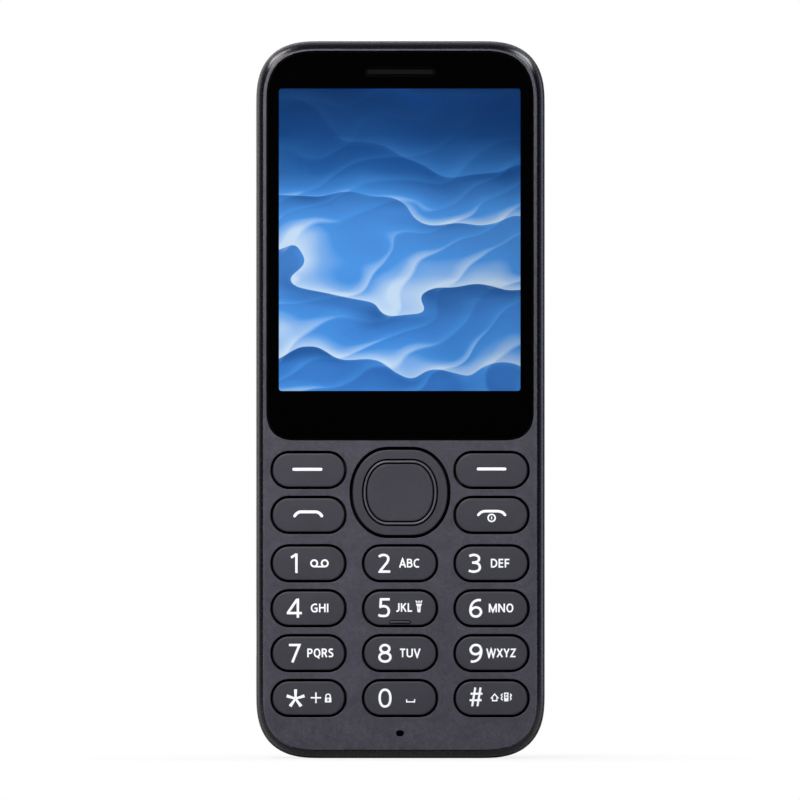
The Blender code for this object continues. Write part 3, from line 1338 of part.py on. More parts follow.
def make_speaker(materials, phone):
    body = centred(0, SPEAKER_Z, SPEAKER_WIDTH, SPEAKER_HEIGHT, SPEAKER_CORNER)
    cone = centred(0, SPEAKER_Z, SPEAKER_WIDTH, SPEAKER_HEIGHT, SPEAKER_CORNER, SPEAKER_CONE_INSET)
    stack = [
        section(body, PART_FRONT + SPEAKER_BOARD_GAP),
        section(body, SPEAKER_BACK),
        section(cone, SPEAKER_BACK),
        section(cone, SPEAKER_BACK - SPEAKER_CONE_DEPTH),
    ]
    piece("loudspeaker", [stack], materials["plastic"], phone)


def make_antenna(materials, phone):
    outline = centred(0, ANTENNA_Z, ANTENNA_WIDTH, ANTENNA_HEIGHT, PLAIN_CORNER)
    front = CHASSIS_BACK + STACK_GAP
    back = front + ANTENNA_THICKNESS
    antenna = piece("antenna", [prism(outline, front, back)], materials["copper"], phone)
    slit = plain_box(ANTENNA_SLIT_END, ANTENNA_Z, ANTENNA_WIDTH, ANTENNA_SLIT_HEIGHT)
    cut(antenna, [prism(slit, front - MERGE, back + MERGE)], "antenna_slit")


def cover_round(steps, wall):
    """Inset and depth round the cover's back edge, for the outer skin or, with a wall, the inner one."""
    points = []
    for step in range(1, steps + 1):
        angle = math.pi / 2 * step / steps
        inward = 1 - math.cos(angle) ** (2 / COVER_ROUND_EXPONENT)
        down = math.sin(angle) ** (2 / COVER_ROUND_EXPONENT)
        inset = wall + (COVER_ROUND - wall) * inward
        points.append((inset, COVER_SIDE_END + (COVER_ROUND - wall) * down))
    return points


def make_back_cover(materials, phone):
    stack = []
    for inset, depth in reversed(cover_round(COVER_INNER_STEPS, COVER_WALL)):
        stack.append(section(body_outline(inset, inset), depth))
    stack.append(section(body_outline(COVER_WALL, COVER_WALL), COVER_SIDE_END))
    stack.append(section(body_outline(COVER_WALL, COVER_WALL), COVER_RIM_DEPTH))
    stack.append(section(body_outline(COVER_RIM_EDGE, COVER_RIM_EDGE), COVER_RIM_DEPTH))
    stack.append(section(body_outline(0, 0), COVER_RIM_DEPTH + COVER_RIM_EDGE))
    stack.append(section(body_outline(0, 0), COVER_SIDE_END))
    for inset, depth in cover_round(COVER_ROUND_STEPS, 0):
        stack.append(section(body_outline(inset, inset), depth))
    pivot = Vector((0, at_depth(BODY_DEPTH), BODY_HEIGHT / 2))
    cover = piece("back_cover", [stack], materials["cover"], phone, pivot=pivot)

    fuse(cover, cover_beads(), "cover_beads")
    cut(cover, cover_holes(), "cover_holes")
    cut(cover, cover_ports(), "cover_ports")
    cut(cover, [cover_notch()], "pry_notch")
    return cover


def cover_beads():
    """Low beads inside the cover's sides, which locate it on the chassis."""
    beads = []
    inner = BODY_WIDTH / 2 - COVER_WALL
    for side in (-1, 1):
        for share in BEAD_HEIGHT_SHARES:
            z = share * BODY_HEIGHT
            outer_x = side * (inner + MERGE)
            inner_x = side * (inner - BEAD_PROUD)
            bottom = z - BEAD_LENGTH / 2
            top = z + BEAD_LENGTH / 2
            outline = (
                (outer_x, bottom),
                (inner_x, bottom + BEAD_PROUD),
                (inner_x, top - BEAD_PROUD),
                (outer_x, top),
            )
            beads.append(prism(outline, BEAD_FRONT, BEAD_BACK))
    return beads


def cover_holes():
    """Holes through the cover's back for the camera, the torch and the loudspeaker."""
    floor = COVER_FLOOR - MERGE
    back = BODY_DEPTH + OVERRUN
    window_seat = BODY_DEPTH - CAMERA_WINDOW_THICKNESS - STACK_GAP
    sight = circle(0, CAMERA_Z, CAMERA_SIGHT_RADIUS, LENS_SIDES)
    rim = circle(0, CAMERA_Z, CAMERA_WINDOW_RADIUS + STACK_GAP, LENS_SIDES)
    camera = [
        section(sight, floor),
        section(sight, window_seat),
        section(rim, window_seat),
        section(rim, back),
    ]
    torch_seat = BODY_DEPTH - TORCH_HEAD_THICKNESS - STACK_GAP
    pipe = circle(TORCH_X, CAMERA_Z, TORCH_PIPE_RADIUS + STACK_GAP)
    head = circle(TORCH_X, CAMERA_Z, TORCH_HEAD_RADIUS + STACK_GAP)
    torch = [
        section(pipe, floor),
        section(pipe, torch_seat),
        section(head, torch_seat),
        section(head, back),
    ]
    holes = [camera, torch]
    mesh = speaker_mesh_outline(-STACK_GAP)
    holes.append(prism(mesh, floor, COVER_FLOOR + SPEAKER_MESH_THICKNESS))
    return holes


def speaker_mesh_outline(inset):
    width = SPEAKER_MESH_WIDTH
    height = SPEAKER_MESH_HEIGHT
    return centred(0, SPEAKER_Z, width, height, SPEAKER_MESH_CORNER, inset)


def cover_ports():
    """The loudspeaker slots, the mouth for the plug at the bottom and the jack hole at the top."""
    cuts = []
    for index in range(SLOT_COUNT):
        z = SPEAKER_Z + (index - (SLOT_COUNT - 1) / 2) * COVER_SLOT_PITCH
        slot = centred(0, z, COVER_SLOT_WIDTH, COVER_SLOT_HEIGHT, COVER_SLOT_CORNER)
        cuts.append(prism(slot, COVER_FLOOR - MERGE, BODY_DEPTH + OVERRUN))
    half = USB_WIDTH / 2 + USB_OPENING_GAP
    front = PART_FRONT - USB_OPENING_GAP
    back = PART_FRONT + USB_THICKNESS + USB_OPENING_GAP
    mouth = rounded(-half, half, front, back, (PLAIN_CORNER, PLAIN_CORNER))
    cuts.append(upright(mouth, -OVERRUN, COVER_WALL + MERGE))
    hole = circle(JACK_X, jack_axis_depth(), JACK_OPENING_RADIUS, LENS_SIDES)
    cuts.append(upright(hole, BODY_HEIGHT - COVER_WALL - MERGE, BODY_HEIGHT + OVERRUN))
    return cuts


def cover_notch():
    """The fingernail notch at the cover's parting line, low on the left side."""
    edge = BODY_WIDTH / 2
    bottom = NOTCH_Z - NOTCH_WIDTH / 2
    top = NOTCH_Z + NOTCH_WIDTH / 2
    outline = (
        (-edge - OVERRUN, bottom),
        (-edge + NOTCH_DEPTH, bottom + NOTCH_REACH),
        (-edge + NOTCH_DEPTH, top - NOTCH_REACH),
        (-edge - OVERRUN, top),
    )
    return prism(outline, COVER_RIM_DEPTH - OVERRUN, COVER_RIM_DEPTH + NOTCH_REACH)


def make_cover_trim(materials, cover):
    disc = circle(0, CAMERA_Z, CAMERA_WINDOW_RADIUS, LENS_SIDES)
    front = BODY_DEPTH - CAMERA_WINDOW_THICKNESS
    piece("camera_window", [prism(disc, front, BODY_DEPTH)], materials["window"], cover)
    pipe = circle(TORCH_X, CAMERA_Z, TORCH_PIPE_RADIUS)
    head = circle(TORCH_X, CAMERA_Z, TORCH_HEAD_RADIUS)
    head_front = BODY_DEPTH - TORCH_HEAD_THICKNESS
    torch = [
        section(pipe, TORCH_PIPE_FRONT),
        section(pipe, head_front),
        section(head, head_front),
        section(head, BODY_DEPTH),
    ]
    piece("torch_lens", [torch], materials["clear"], cover)
    back = COVER_FLOOR + SPEAKER_MESH_THICKNESS - STACK_GAP
    mesh = prism(speaker_mesh_outline(0), back - SPEAKER_MESH_THICKNESS, back)
    piece("speaker_mesh", [mesh], materials["mesh"], cover)


def main():
    clear_scene()
    materials = make_materials()
    phone = make_empty("phone", ORIGIN)
    make_front_housing(materials, phone)
    make_window(materials, phone)
    make_earpiece(materials, phone)
    make_display(materials, phone)
    make_keys(materials, phone)
    make_nav(materials, phone)
    make_select_key(materials, phone)
    make_membrane(materials, phone)
    make_dome_sheet(materials, phone)
    make_board(materials, phone)
    make_microphone(materials, phone)
    make_usb(materials, phone)
    make_jack(materials, phone)
    make_chassis(materials, phone)
    make_screws(materials, phone)
    make_battery(materials, phone)
    make_contacts(materials, phone)
    make_card_holder("sim_holder", SIM_X, SIM_WIDTH, SIM_HEIGHT, materials, phone)
    make_card_holder("memory_card_holder", CARD_X, CARD_WIDTH, CARD_HEIGHT, materials, phone)
    make_camera_and_torch(materials, phone)
    make_motor(materials, phone)
    make_speaker(materials, phone)
    make_antenna(materials, phone)
    cover = make_back_cover(materials, phone)
    make_cover_trim(materials, cover)


main()
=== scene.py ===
"""Looks for a bar phone with a number keypad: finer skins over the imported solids, printed legends,
a lit screen behind its window, procedural materials, and a plain white studio.

All lengths are in metres, in the part's own frame: the front faces -Y, +X is to the right, +Z is up.
Depths are measured backwards from the front face.
"""

import json
import math

import bmesh
import bpy
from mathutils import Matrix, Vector
from mathutils.geometry import delaunay_2d_cdt


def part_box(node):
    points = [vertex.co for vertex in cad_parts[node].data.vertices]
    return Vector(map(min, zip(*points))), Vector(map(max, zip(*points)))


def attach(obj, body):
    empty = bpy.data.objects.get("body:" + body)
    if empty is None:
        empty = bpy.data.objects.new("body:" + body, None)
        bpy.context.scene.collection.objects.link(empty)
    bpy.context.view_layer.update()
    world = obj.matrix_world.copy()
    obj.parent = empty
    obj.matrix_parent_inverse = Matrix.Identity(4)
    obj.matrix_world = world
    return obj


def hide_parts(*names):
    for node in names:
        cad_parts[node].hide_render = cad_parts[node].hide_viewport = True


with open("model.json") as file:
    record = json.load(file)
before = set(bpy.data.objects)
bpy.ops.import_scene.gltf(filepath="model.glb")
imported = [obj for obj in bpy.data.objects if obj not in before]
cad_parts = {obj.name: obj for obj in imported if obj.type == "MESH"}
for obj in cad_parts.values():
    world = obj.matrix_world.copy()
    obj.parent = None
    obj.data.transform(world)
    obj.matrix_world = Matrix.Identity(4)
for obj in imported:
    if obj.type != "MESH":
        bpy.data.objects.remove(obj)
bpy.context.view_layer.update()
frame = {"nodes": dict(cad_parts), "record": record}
NODES = frame["nodes"]

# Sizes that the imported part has
BODY_WIDTH = 0.0529
BODY_HEIGHT = 0.1316
BODY_DEPTH = 0.0125
FACE_Y = -0.006
KEY_PROUD = 0.0003
PIP_PROUD = 0.0002
OVERRUN = 0.001
CORNER_REACH = 0.0116
CORNER_EXPONENT = 2.65
FACE_INSET_TOP = 0.00145
FACE_EDGE_DEPTH = 0.00018
COVER_STEP = 0.00028
PARTING_DEPTH = 0.004
FRONT_WALL = 0.0012
CAVITY_INSET_SIDE = 0.0017
CAVITY_INSET_END = 0.002
KEY_WIDTH = 0.01398
KEY_HEIGHT = 0.007
KEY_CORNER = 0.0034
KEY_GAP = 0.00039
KEY_EDGE = 0.00022
COLUMN_PITCH = 0.01678
ROW_PITCH = 0.00824
BOTTOM_ROW_Z = 0.01106
FUNCTION_ROW_Z = 0.04465
FLANGE_FRONT = 0.0015
FLANGE_BACK = 0.002
NAV_Z = 0.04877
NAV_WIDTH = 0.01846
NAV_HEIGHT = 0.0167
NAV_REACH = (0.0069, 0.0081)
NAV_GAP = 0.0005
NAV_EDGE = 0.00025
SELECT_WIDTH = 0.01391
SELECT_HEIGHT = 0.01228
SELECT_REACH = (0.004625, 0.00589)
SELECT_GAP = 0.00027
SELECT_EDGE = 0.00008
SELECT_BEAD = 0.0003
SELECT_GROOVE = 0.0003
SELECT_GROOVE_DEPTH = 0.00025
WINDOW_SIDE = 0.001925
WINDOW_BOTTOM = 0.0583
WINDOW_BORDER_TOP = 0.0018
WINDOW_LOWER = 0.0058
WINDOW_GAP = 0.0002
WINDOW_SET = 0.00005
WINDOW_BACK = 0.00105
WINDOW_SEAT = 0.00135
WINDOW_WALL = 0.0022
DISPLAY_HALF = 0.02295
DISPLAY_BOTTOM = 0.0632
DISPLAY_TOP = 0.1238
SLOT_WIDTH = 0.0127
SLOT_HEIGHT = 0.0014
SLOT_Z = 0.1259
SLOT_CORNER = 0.0005
MIC_Z = 0.0046
COVER_WALL = 0.0011
COVER_ROUND = 0.0029
COVER_FRONT = 0.0043
COVER_FLOOR = BODY_DEPTH - COVER_WALL - 0.0002
CAMERA_SEAT = 0.0117
TORCH_SEAT = 0.0115
SLOTS_SEAT = 0.0116

# Sizes of the scene's own. Those of the face and the bar on the 5 are measured again from the photograph.
FACE_INSET_SIDE = 0.0013
FACE_INSET_BOTTOM = 0.00145
FACE_EDGE = 0.00024
PIP_DROP = 0.00254
CAP_SPARE = 0.00002
CAP_DOME = 0.00004
LIP_SIDE = 0.0005
LIP_END = 0.00035
LIP_CUT = 0.002
LIP_CORNER = 0.0006
NAV_LIP_FRONT = 0.00166
NAV_LIP_BACK = 0.00216
NAV_ROOF = 0.0007
SELECT_ROOM = 0.0008
SELECT_LIP_FRONT = 0.00124
SELECT_LIP_BACK = 0.00174
SELECT_SOFT_EDGE = 0.0001
SELECT_DISH = 0.00006
BEAD_SEAT = 0.00008
SCREEN_GAP = 0.0003
SCREEN_CORNER = 0.0006
WALL_GAP = 0.0001
BRINK = 0.00012
MIC_WIDTH = 0.00142
MIC_HEIGHT = 0.0011
MIC_CORNER = 0.00052
CAMERA_GLASS_FRONT = 0.0119

# The lit part of the screen
LIT_LEFT = -0.02223
LIT_RIGHT = 0.02207
LIT_BOTTOM = 0.0674
LIT_TOP = 0.12285
LIT_CORNER = 0.0005

# Fineness of the skins
BODY_STEPS = 20
WINDOW_STEPS = 16
KEY_STEPS = 10
NAV_STEPS = 16
ROUND_STEPS = 4
OPENING_EDGE = 0.00011
LEAST_CORNER = 0.00002
CROWN_SHARES = (0.08, 0.3, 0.5, 0.68, 0.83, 0.94)

# A pixel of the photograph's frame, and how far the print stands out
PIXEL = 0.0001835
PRINT_PROUD = 0.00001


def rounded(left, right, bottom, top, lower, upper=None, exponent=2, steps=KEY_STEPS):
    """A rectangle with rounded corners, anticlockwise. lower and upper are the corners' reaches."""
    upper = upper or lower
    corners = (
        (right, 1, bottom, -1, lower, -90),
        (right, 1, top, 1, upper, 0),
        (left, -1, top, 1, upper, 90),
        (left, -1, bottom, -1, lower, 180),
    )
    points = []
    for side, out, end, up, (across_reach, along_reach), start in corners:
        for step in range(steps + 1):
            angle = math.radians(start + 90 * step / steps)
            across = abs(math.cos(angle)) ** (2 / exponent)
            along = abs(math.sin(angle)) ** (2 / exponent)
            points.append((side - out * across_reach * (1 - across), end - up * along_reach * (1 - along)))
    return points


def centred(x, z, width, height, corner, inset=0, steps=KEY_STEPS):
    """A rounded rectangle about a centre, drawn in by inset."""
    reach = max(corner - inset, LEAST_CORNER)
    across, up = width / 2 - inset, height / 2 - inset
    return rounded(x - across, x + across, z - up, z + up, (reach, reach), steps=steps)


def oblong(x, z, width, height, corner, steps=KEY_STEPS):
    """The same rectangle, as an outline that takes an inset."""
    return lambda inset: centred(x, z, width, height, corner, inset, steps)


def circle(x, z, radius, sides=32):
    turns = [math.tau * index / sides for index in range(sides)]
    return [(x + radius * math.cos(turn), z + radius * math.sin(turn)) for turn in turns]


def body_outline(side_inset, end_inset, top_inset=None):
    top_inset = end_inset if top_inset is None else top_inset
    half = BODY_WIDTH / 2 - side_inset
    lower = (CORNER_REACH - side_inset, CORNER_REACH - end_inset)
    upper = (CORNER_REACH - side_inset, CORNER_REACH - top_inset)
    top = BODY_HEIGHT - top_inset
    return rounded(-half, half, end_inset, top, lower, upper, CORNER_EXPONENT, BODY_STEPS)


def window_outline(inset):
    lower = WINDOW_LOWER - inset
    side = WINDOW_SIDE + inset
    top = WINDOW_BORDER_TOP + inset
    half = BODY_WIDTH / 2 - side
    return rounded(
        -half, half, WINDOW_BOTTOM + inset, BODY_HEIGHT - top, (lower, lower),
        (CORNER_REACH - side, CORNER_REACH - top), CORNER_EXPONENT, WINDOW_STEPS,
    )


def nav_loop(width, height, reach, inset):
    """An outline about the ring's centre, with corners taller than they are wide."""
    across, up = width / 2 - inset, height / 2 - inset
    return rounded(
        -across, across, NAV_Z - up, NAV_Z + up, (reach[0] - inset, reach[1] - inset), steps=NAV_STEPS
    )


def nav_outline(inset):
    return nav_loop(NAV_WIDTH, NAV_HEIGHT, NAV_REACH, inset)


def select_outline(inset):
    return nav_loop(SELECT_WIDTH, SELECT_HEIGHT, SELECT_REACH, inset)


def slot_outline(outset):
    return centred(0, SLOT_Z, SLOT_WIDTH, SLOT_HEIGHT, SLOT_CORNER, -outset, 6)


def within(outline, x, z):
    """Whether a point lies inside an outline."""
    crossings = 0
    for (ax, az), (bx, bz) in zip(outline, outline[1:] + outline[:1]):
        if (az > z) != (bz > z) and x < ax + (bx - ax) * (z - az) / (bz - az):
            crossings += 1
    return crossings % 2 == 1


def section(outline, depth):
    return [Vector((x, FACE_Y + depth, z)) for x, z in outline]


def stacked(outline, *places):
    """Sections of one outline, one for each inset and depth."""
    return [section(outline(inset), depth) for inset, depth in places]


def level(outline, height):
    """An outline in X and depth, laid at a height."""
    return [Vector((x, FACE_Y + depth, height)) for x, depth in outline]


def eased(outline, edge, depth, steps=ROUND_STEPS):
    """Sections round a convex edge. outline gives the shape for an inset; depth is that of the face."""
    stack = []
    for step in range(steps + 1):
        turn = math.pi / 2 * step / steps
        inset = edge * (1 - math.sin(turn))
        stack.append(section(outline(inset), depth + edge * (1 - math.cos(turn))))
    return stack


def shrunk(outline, share):
    """An outline drawn towards its middle."""
    x = sum(point[0] for point in outline) / len(outline)
    z = sum(point[1] for point in outline) / len(outline)
    return [(x + (px - x) * share, z + (pz - z) * share) for px, pz in outline]


def crowned(outline, depth, dome):
    """Sections from the middle of a softly domed top out to its edge. dome is how far the edge lies back."""
    return [section(shrunk(outline, share), depth - dome * (1 - share * share)) for share in CROWN_SHARES]


def meshed(name, shape):
    mesh = bpy.data.meshes.new(name)
    shape.to_mesh(mesh)
    shape.free()
    return mesh


def loft(name, stacks, ring=False):
    """A mesh of closed bodies, each lofted through a stack of loops of equal count."""
    shape = bmesh.new()
    for stack in stacks:
        loops = [[shape.verts.new(point) for point in loop] for loop in stack]
        pairs = list(zip(loops, loops[1:]))
        if ring:
            pairs.append((loops[-1], loops[0]))
        for near, far in pairs:
            for index in range(len(near)):
                follow = (index + 1) % len(near)
                shape.faces.new((near[index], near[follow], far[follow], far[index]))
        if not ring:
            shape.faces.new(loops[0])
            shape.faces.new(loops[-1])
    bmesh.ops.recalc_face_normals(shape, faces=shape.faces)
    return meshed(name, shape)


def place(name, mesh, *materials):
    piece = bpy.data.objects.new(name, mesh)
    bpy.context.scene.collection.objects.link(piece)
    for material in materials:
        mesh.materials.append(MATERIALS[material])
    return piece


def smooth(piece):
    """Smooth shading that keeps flat faces flat and sharp edges sharp."""
    mesh = piece.data
    mesh.shade_smooth()
    mesh.set_sharp_from_angle(angle=math.radians(32))
    modifier = piece.modifiers.new("weighted", "WEIGHTED_NORMAL")
    modifier.keep_sharp = True
    modifier.weight = 100


def declare(piece, body, replaced=()):
    """Smooths a piece, hangs it on the body that it rides on, and hides the solids that it stands for."""
    smooth(piece)
    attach(piece, body)
    if replaced:
        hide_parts(*replaced)
    return piece


def body_piece(name, stacks, material, body, replaced=(), ring=False):
    return declare(place(name, loft(name, stacks, ring), material), body, replaced)


def darken(piece, depth):
    """Painted shade: near-black plastic on what lies deeper than depth below the face, where the gaps lie in
    shade.
    """
    piece.data.materials.append(MATERIALS["gap"])
    for face in piece.data.polygons:
        if face.center.y > FACE_Y + depth:
            face.material_index = 1


def carve(piece, stacks, operation="DIFFERENCE"):
    """Cuts bodies from a piece, or joins them to it, and keeps the result as its mesh."""
    tool = place("carving", loft("carving", stacks))
    modifier = piece.modifiers.new("carve", "BOOLEAN")
    modifier.operation = operation
    modifier.solver = "EXACT"
    modifier.object = tool
    carved = bpy.data.meshes.new_from_object(piece.evaluated_get(bpy.context.evaluated_depsgraph_get()))
    piece.modifiers.remove(modifier)
    old = piece.data
    piece.data = carved
    bpy.data.meshes.remove(old)
    bpy.data.objects.remove(tool)


# Materials


class Nodes:
    """A node tree and short ways to add nodes to it. Positions are the part's own, in metres."""

    def __init__(self, owner, space="Object"):
        owner.use_nodes = True
        self.owner = owner
        self.tree = owner.node_tree
        self.shader = self.tree.nodes.get("Principled BSDF")
        self.place = self.add("ShaderNodeTexCoord").outputs[space]

    def add(self, kind, inputs=None, **settings):
        """A node with its settings, and its inputs by name or place."""
        node = self.tree.nodes.new(kind)
        for name, value in settings.items():
            setattr(node, name, value)
        for name, value in (inputs or {}).items():
            self.feed(node.inputs[name], value)
        return node

    def feed(self, socket, value):
        if isinstance(value, bpy.types.NodeSocket):
            self.tree.links.new(value, socket)
        else:
            socket.default_value = (*value, 1) if socket.type == "RGBA" else value

    def stretched(self, scale):
        return self.add("ShaderNodeMapping", {"Vector": self.place, "Scale": scale}).outputs["Vector"]

    def noise(self, size, detail=2.0, vector=None, distortion=0.0):
        """Noise with features about size metres across."""
        inputs = {"Scale": 1 / size, "Detail": detail, "Distortion": distortion}
        return self.add("ShaderNodeTexNoise", {"Vector": vector or self.place, **inputs}).outputs["Fac"]

    def flakes(self, size):
        return self.add("ShaderNodeTexVoronoi", {"Vector": self.place, "Scale": 1 / size}).outputs["Color"]

    def math(self, operation, first, second=0.5, clamp=False):
        node = self.add("ShaderNodeMath", {0: first, 1: second}, operation=operation, use_clamp=clamp)
        return node.outputs[0]

    def times(self, first, second, clamp=False):
        return self.math("MULTIPLY", first, second, clamp)

    def plus(self, first, second):
        return self.math("ADD", first, second)

    def between(self, value, low, high, start=0.0, end=1.0):
        """value, which runs from low to high, carried to start to end."""
        inputs = {"Value": value, "From Min": low, "From Max": high, "To Min": start, "To Max": end}
        return self.add("ShaderNodeMapRange", inputs).outputs["Result"]

    def spread(self, noise, start, end):
        """Noise, which lies mostly between 0.3 and 0.7, carried to start to end."""
        return self.between(noise, 0.3, 0.7, start, end)

    def blend(self, factor, first, second, mode="MIX"):
        inputs = {0: factor, 6: first, 7: second}
        return self.add("ShaderNodeMix", inputs, data_type="RGBA", blend_type=mode).outputs[2]

    def mixed(self, factor, first, second):
        """Two shaders, the second as far as factor says."""
        return self.add("ShaderNodeMixShader", {0: factor, 1: first, 2: second}).outputs[0]

    def ramp(self, value, stops):
        node = self.add("ShaderNodeValToRGB", {"Fac": value})
        elements = node.color_ramp.elements
        while len(elements) < len(stops):
            elements.new(0.5)
        for element, (where, colour) in zip(elements, stops):
            element.position = where
            element.color = (*colour, 1)
        return node.outputs["Color"]

    def greys(self, value, *stops):
        return self.ramp(value, [(where, (grey, grey, grey)) for where, grey in stops])

    def axis(self, name):
        return self.add("ShaderNodeSeparateXYZ", {0: self.place}).outputs[name]

    def bump(self, height, distance):
        return self.add("ShaderNodeBump", {"Distance": distance, "Height": height}).outputs["Normal"]

    def finish(self, colour, roughness, normal=None, **plain):
        plain.update(Base_Color=colour, Roughness=roughness)
        if normal:
            plain["Normal"] = normal
        for name, value in plain.items():
            self.feed(self.shader.inputs[name.replace("_", " ")], value)
        return self.owner


def material(name):
    return Nodes(bpy.data.materials.new(name))


def toned(name, size, dark, pale, rough, depth=0, detail=3, stretch=1, distortion=0.0, **plain):
    """A surface whose two tones and two roughnesses follow one noise, with its bump where depth is given."""
    n = material(name)
    marks = n.noise(size, detail, n.stretched((1, 1, stretch)), distortion)
    relief = n.bump(marks, depth) if depth else None
    return n.finish(n.blend(marks, dark, pale), n.spread(marks, *rough), relief, **plain)


def painted_plastic(name, colour, roughness, flake=0.16, cloud=0.1, grain=0.00012, depth=0.000004, gloss=0.5):
    """Satin moulded plastic with a fine metallic paint: flakes, soft clouds, a faint orange peel."""
    n = material(name)
    mottle = n.noise(0.0007, 3)
    tone = n.spread(n.noise(0.006, 4, distortion=0.6), 1 - cloud, 1 + cloud)
    tone = n.times(tone, n.between(n.flakes(grain), 0, 1, 1 - flake, 1 + flake))
    tone = n.times(tone, n.spread(mottle, 1 - flake / 2, 1 + flake / 2))
    shade = n.blend(1.0, colour, tone, "MULTIPLY")
    rough = n.spread(mottle, roughness - 0.05, roughness + 0.05)
    return n.finish(shade, rough, n.bump(n.noise(grain * 2.2, 3), depth), Specular_IOR_Level=gloss)


def window_materials():
    """The lens: black behind its border, and the clear pane over the screen."""
    n = material("window_border")
    haze = n.noise(0.012, 3, distortion=0.8)
    dust = n.between(n.noise(0.0004), 0.6, 0.8, 0, 0.03)
    rough = n.plus(n.between(haze, 0.35, 0.7, 0.03, 0.06), dust)
    shade = n.blend(haze, (0.0004, 0.0004, 0.0005), (0.0007, 0.0007, 0.0009))
    border = n.finish(shade, rough, Specular_IOR_Level=0.5)
    n = material("window_pane")
    rough = n.between(n.noise(0.012, 3, distortion=0.8), 0.35, 0.7, 0.0, 0.015)
    tint = n.blend(n.noise(0.02), (0.97, 0.98, 1), (1, 1, 1))
    return border, n.finish(tint, rough, Transmission_Weight=1.0, IOR=1.45)


def ink_material():
    n = material("legend_ink")
    wear = n.noise(0.0003, 3)
    shade = n.blend(n.between(wear, 0.35, 0.65), (0.86, 0.89, 0.93), (0.93, 0.95, 0.98))
    return n.finish(shade, n.spread(wear, 0.45, 0.6), n.bump(wear, 0.000002))


def mesh_material():
    n = material("woven_mesh")
    inputs = {"Vector": n.place, "Scale": 1250, "Distortion": 0.2}
    threads = [
        n.add("ShaderNodeTexWave", inputs, wave_type="BANDS", bands_direction=direction).outputs["Fac"]
        for direction in "XZ"
    ]
    weave = n.math("MAXIMUM", *threads)
    shade = n.blend(weave, (0.0012, 0.0012, 0.0015), (0.0045, 0.0045, 0.0052))
    rough = n.spread(n.noise(0.0002), 0.55, 0.75)
    return n.finish(shade, rough, n.bump(weave, 0.00003), Specular_IOR_Level=0.05)


def silicone_material():
    n = material("silicone_pad")
    mottle = n.noise(0.0016, 4)
    shade = n.blend(mottle, (0.006, 0.006, 0.007), (0.01, 0.01, 0.011))
    return n.finish(shade, n.spread(mottle, 0.6, 0.78), n.bump(n.noise(0.0001), 0.00001))


def board_material():
    """Green solder mask over copper traces."""
    n = material("board_mask")
    inputs = {"Vector": n.place, "Scale": 700, "Randomness": 0.55}
    cells = n.add("ShaderNodeTexVoronoi", inputs, feature="DISTANCE_TO_EDGE", distance="CHEBYCHEV")
    trace = n.between(cells.outputs["Distance"], 0.05, 0.09)
    shade = n.blend(trace, (0.035, 0.16, 0.07), (0.012, 0.07, 0.03))
    return n.finish(shade, n.spread(n.noise(0.0009, 3), 0.3, 0.45), n.bump(trace, 0.00002))


def make_materials():
    border, pane = window_materials()
    return {
        "housing": painted_plastic("housing_paint", (0.0395, 0.0385, 0.0555), 0.44, 0.36, 0.15),
        # Painted highlight: a paler copy of the housing paint, put on the side chamfers only
        "edge": painted_plastic("edge_highlight_paint", (0.062, 0.061, 0.08), 0.4, 0.3, 0.15),
        # The gap material is painted shade: near-black plastic for the shade in gaps, openings and grooves.
        "gap": painted_plastic(
            "painted_shade_plastic", (0.002, 0.002, 0.0024), 0.8, 0.05, 0.1, 0.0002, gloss=0.1
        ),
        "flank": painted_plastic("flank_paint", (0.006, 0.006, 0.0085), 0.26, 0.1, 0.05),
        "keys": painted_plastic("key_paint", (0.0262, 0.0252, 0.0375), 0.48, 0.14, 0.07),
        # Painted highlight: the bead's paler paint stands in for the light on its bevel
        "bead": painted_plastic("bead_highlight_paint", (0.075, 0.075, 0.09), 0.35, 0.1, 0.05),
        "cover": painted_plastic("cover_paint", (0.07, 0.068, 0.076), 0.5, 0.12, 0.06, 0.00022, 0.000012),
        "plastic": painted_plastic("black_moulding", (0.018, 0.018, 0.02), 0.5, 0.05, 0.1, 0.0002, 0.00001),
        "window": border,
        "pane": pane,
        "picture": picture_material(),
        "ink": ink_material(),
        "mesh": mesh_material(),
        "silicone": silicone_material(),
        "board": board_material(),
        "floor": floor_material(),
        "steel": toned(
            "plated_steel", 0.0003, (0.5, 0.5, 0.51), (0.66, 0.66, 0.67), (0.24, 0.4), 0.000004, 4, 0.06,
            Metallic=1,
        ),
        "contacts": toned(
            "gold_flash", 0.0002, (0.72, 0.5, 0.2), (0.86, 0.64, 0.32), (0.2, 0.36), Metallic=1
        ),
        "copper": toned(
            "copper_film", 0.0006, (0.62, 0.33, 0.15), (0.76, 0.45, 0.24), (0.3, 0.45), Metallic=1
        ),
        "film": toned("dome_film", 0.002, (0.66, 0.66, 0.62), (0.78, 0.78, 0.74), (0.3, 0.45)),
        "clear": toned(
            "clear_plastic", 0.001, (0.9, 0.92, 0.93), (0.97, 0.98, 0.98), (0.05, 0.14), 0.00001,
            Transmission_Weight=0.85,
        ),
        "battery": toned(
            "battery_film", 0.004, (0.045, 0.046, 0.052), (0.07, 0.071, 0.078), (0.32, 0.5), 0.00008, 4, 0.3,
            0.4,
        ),
    }


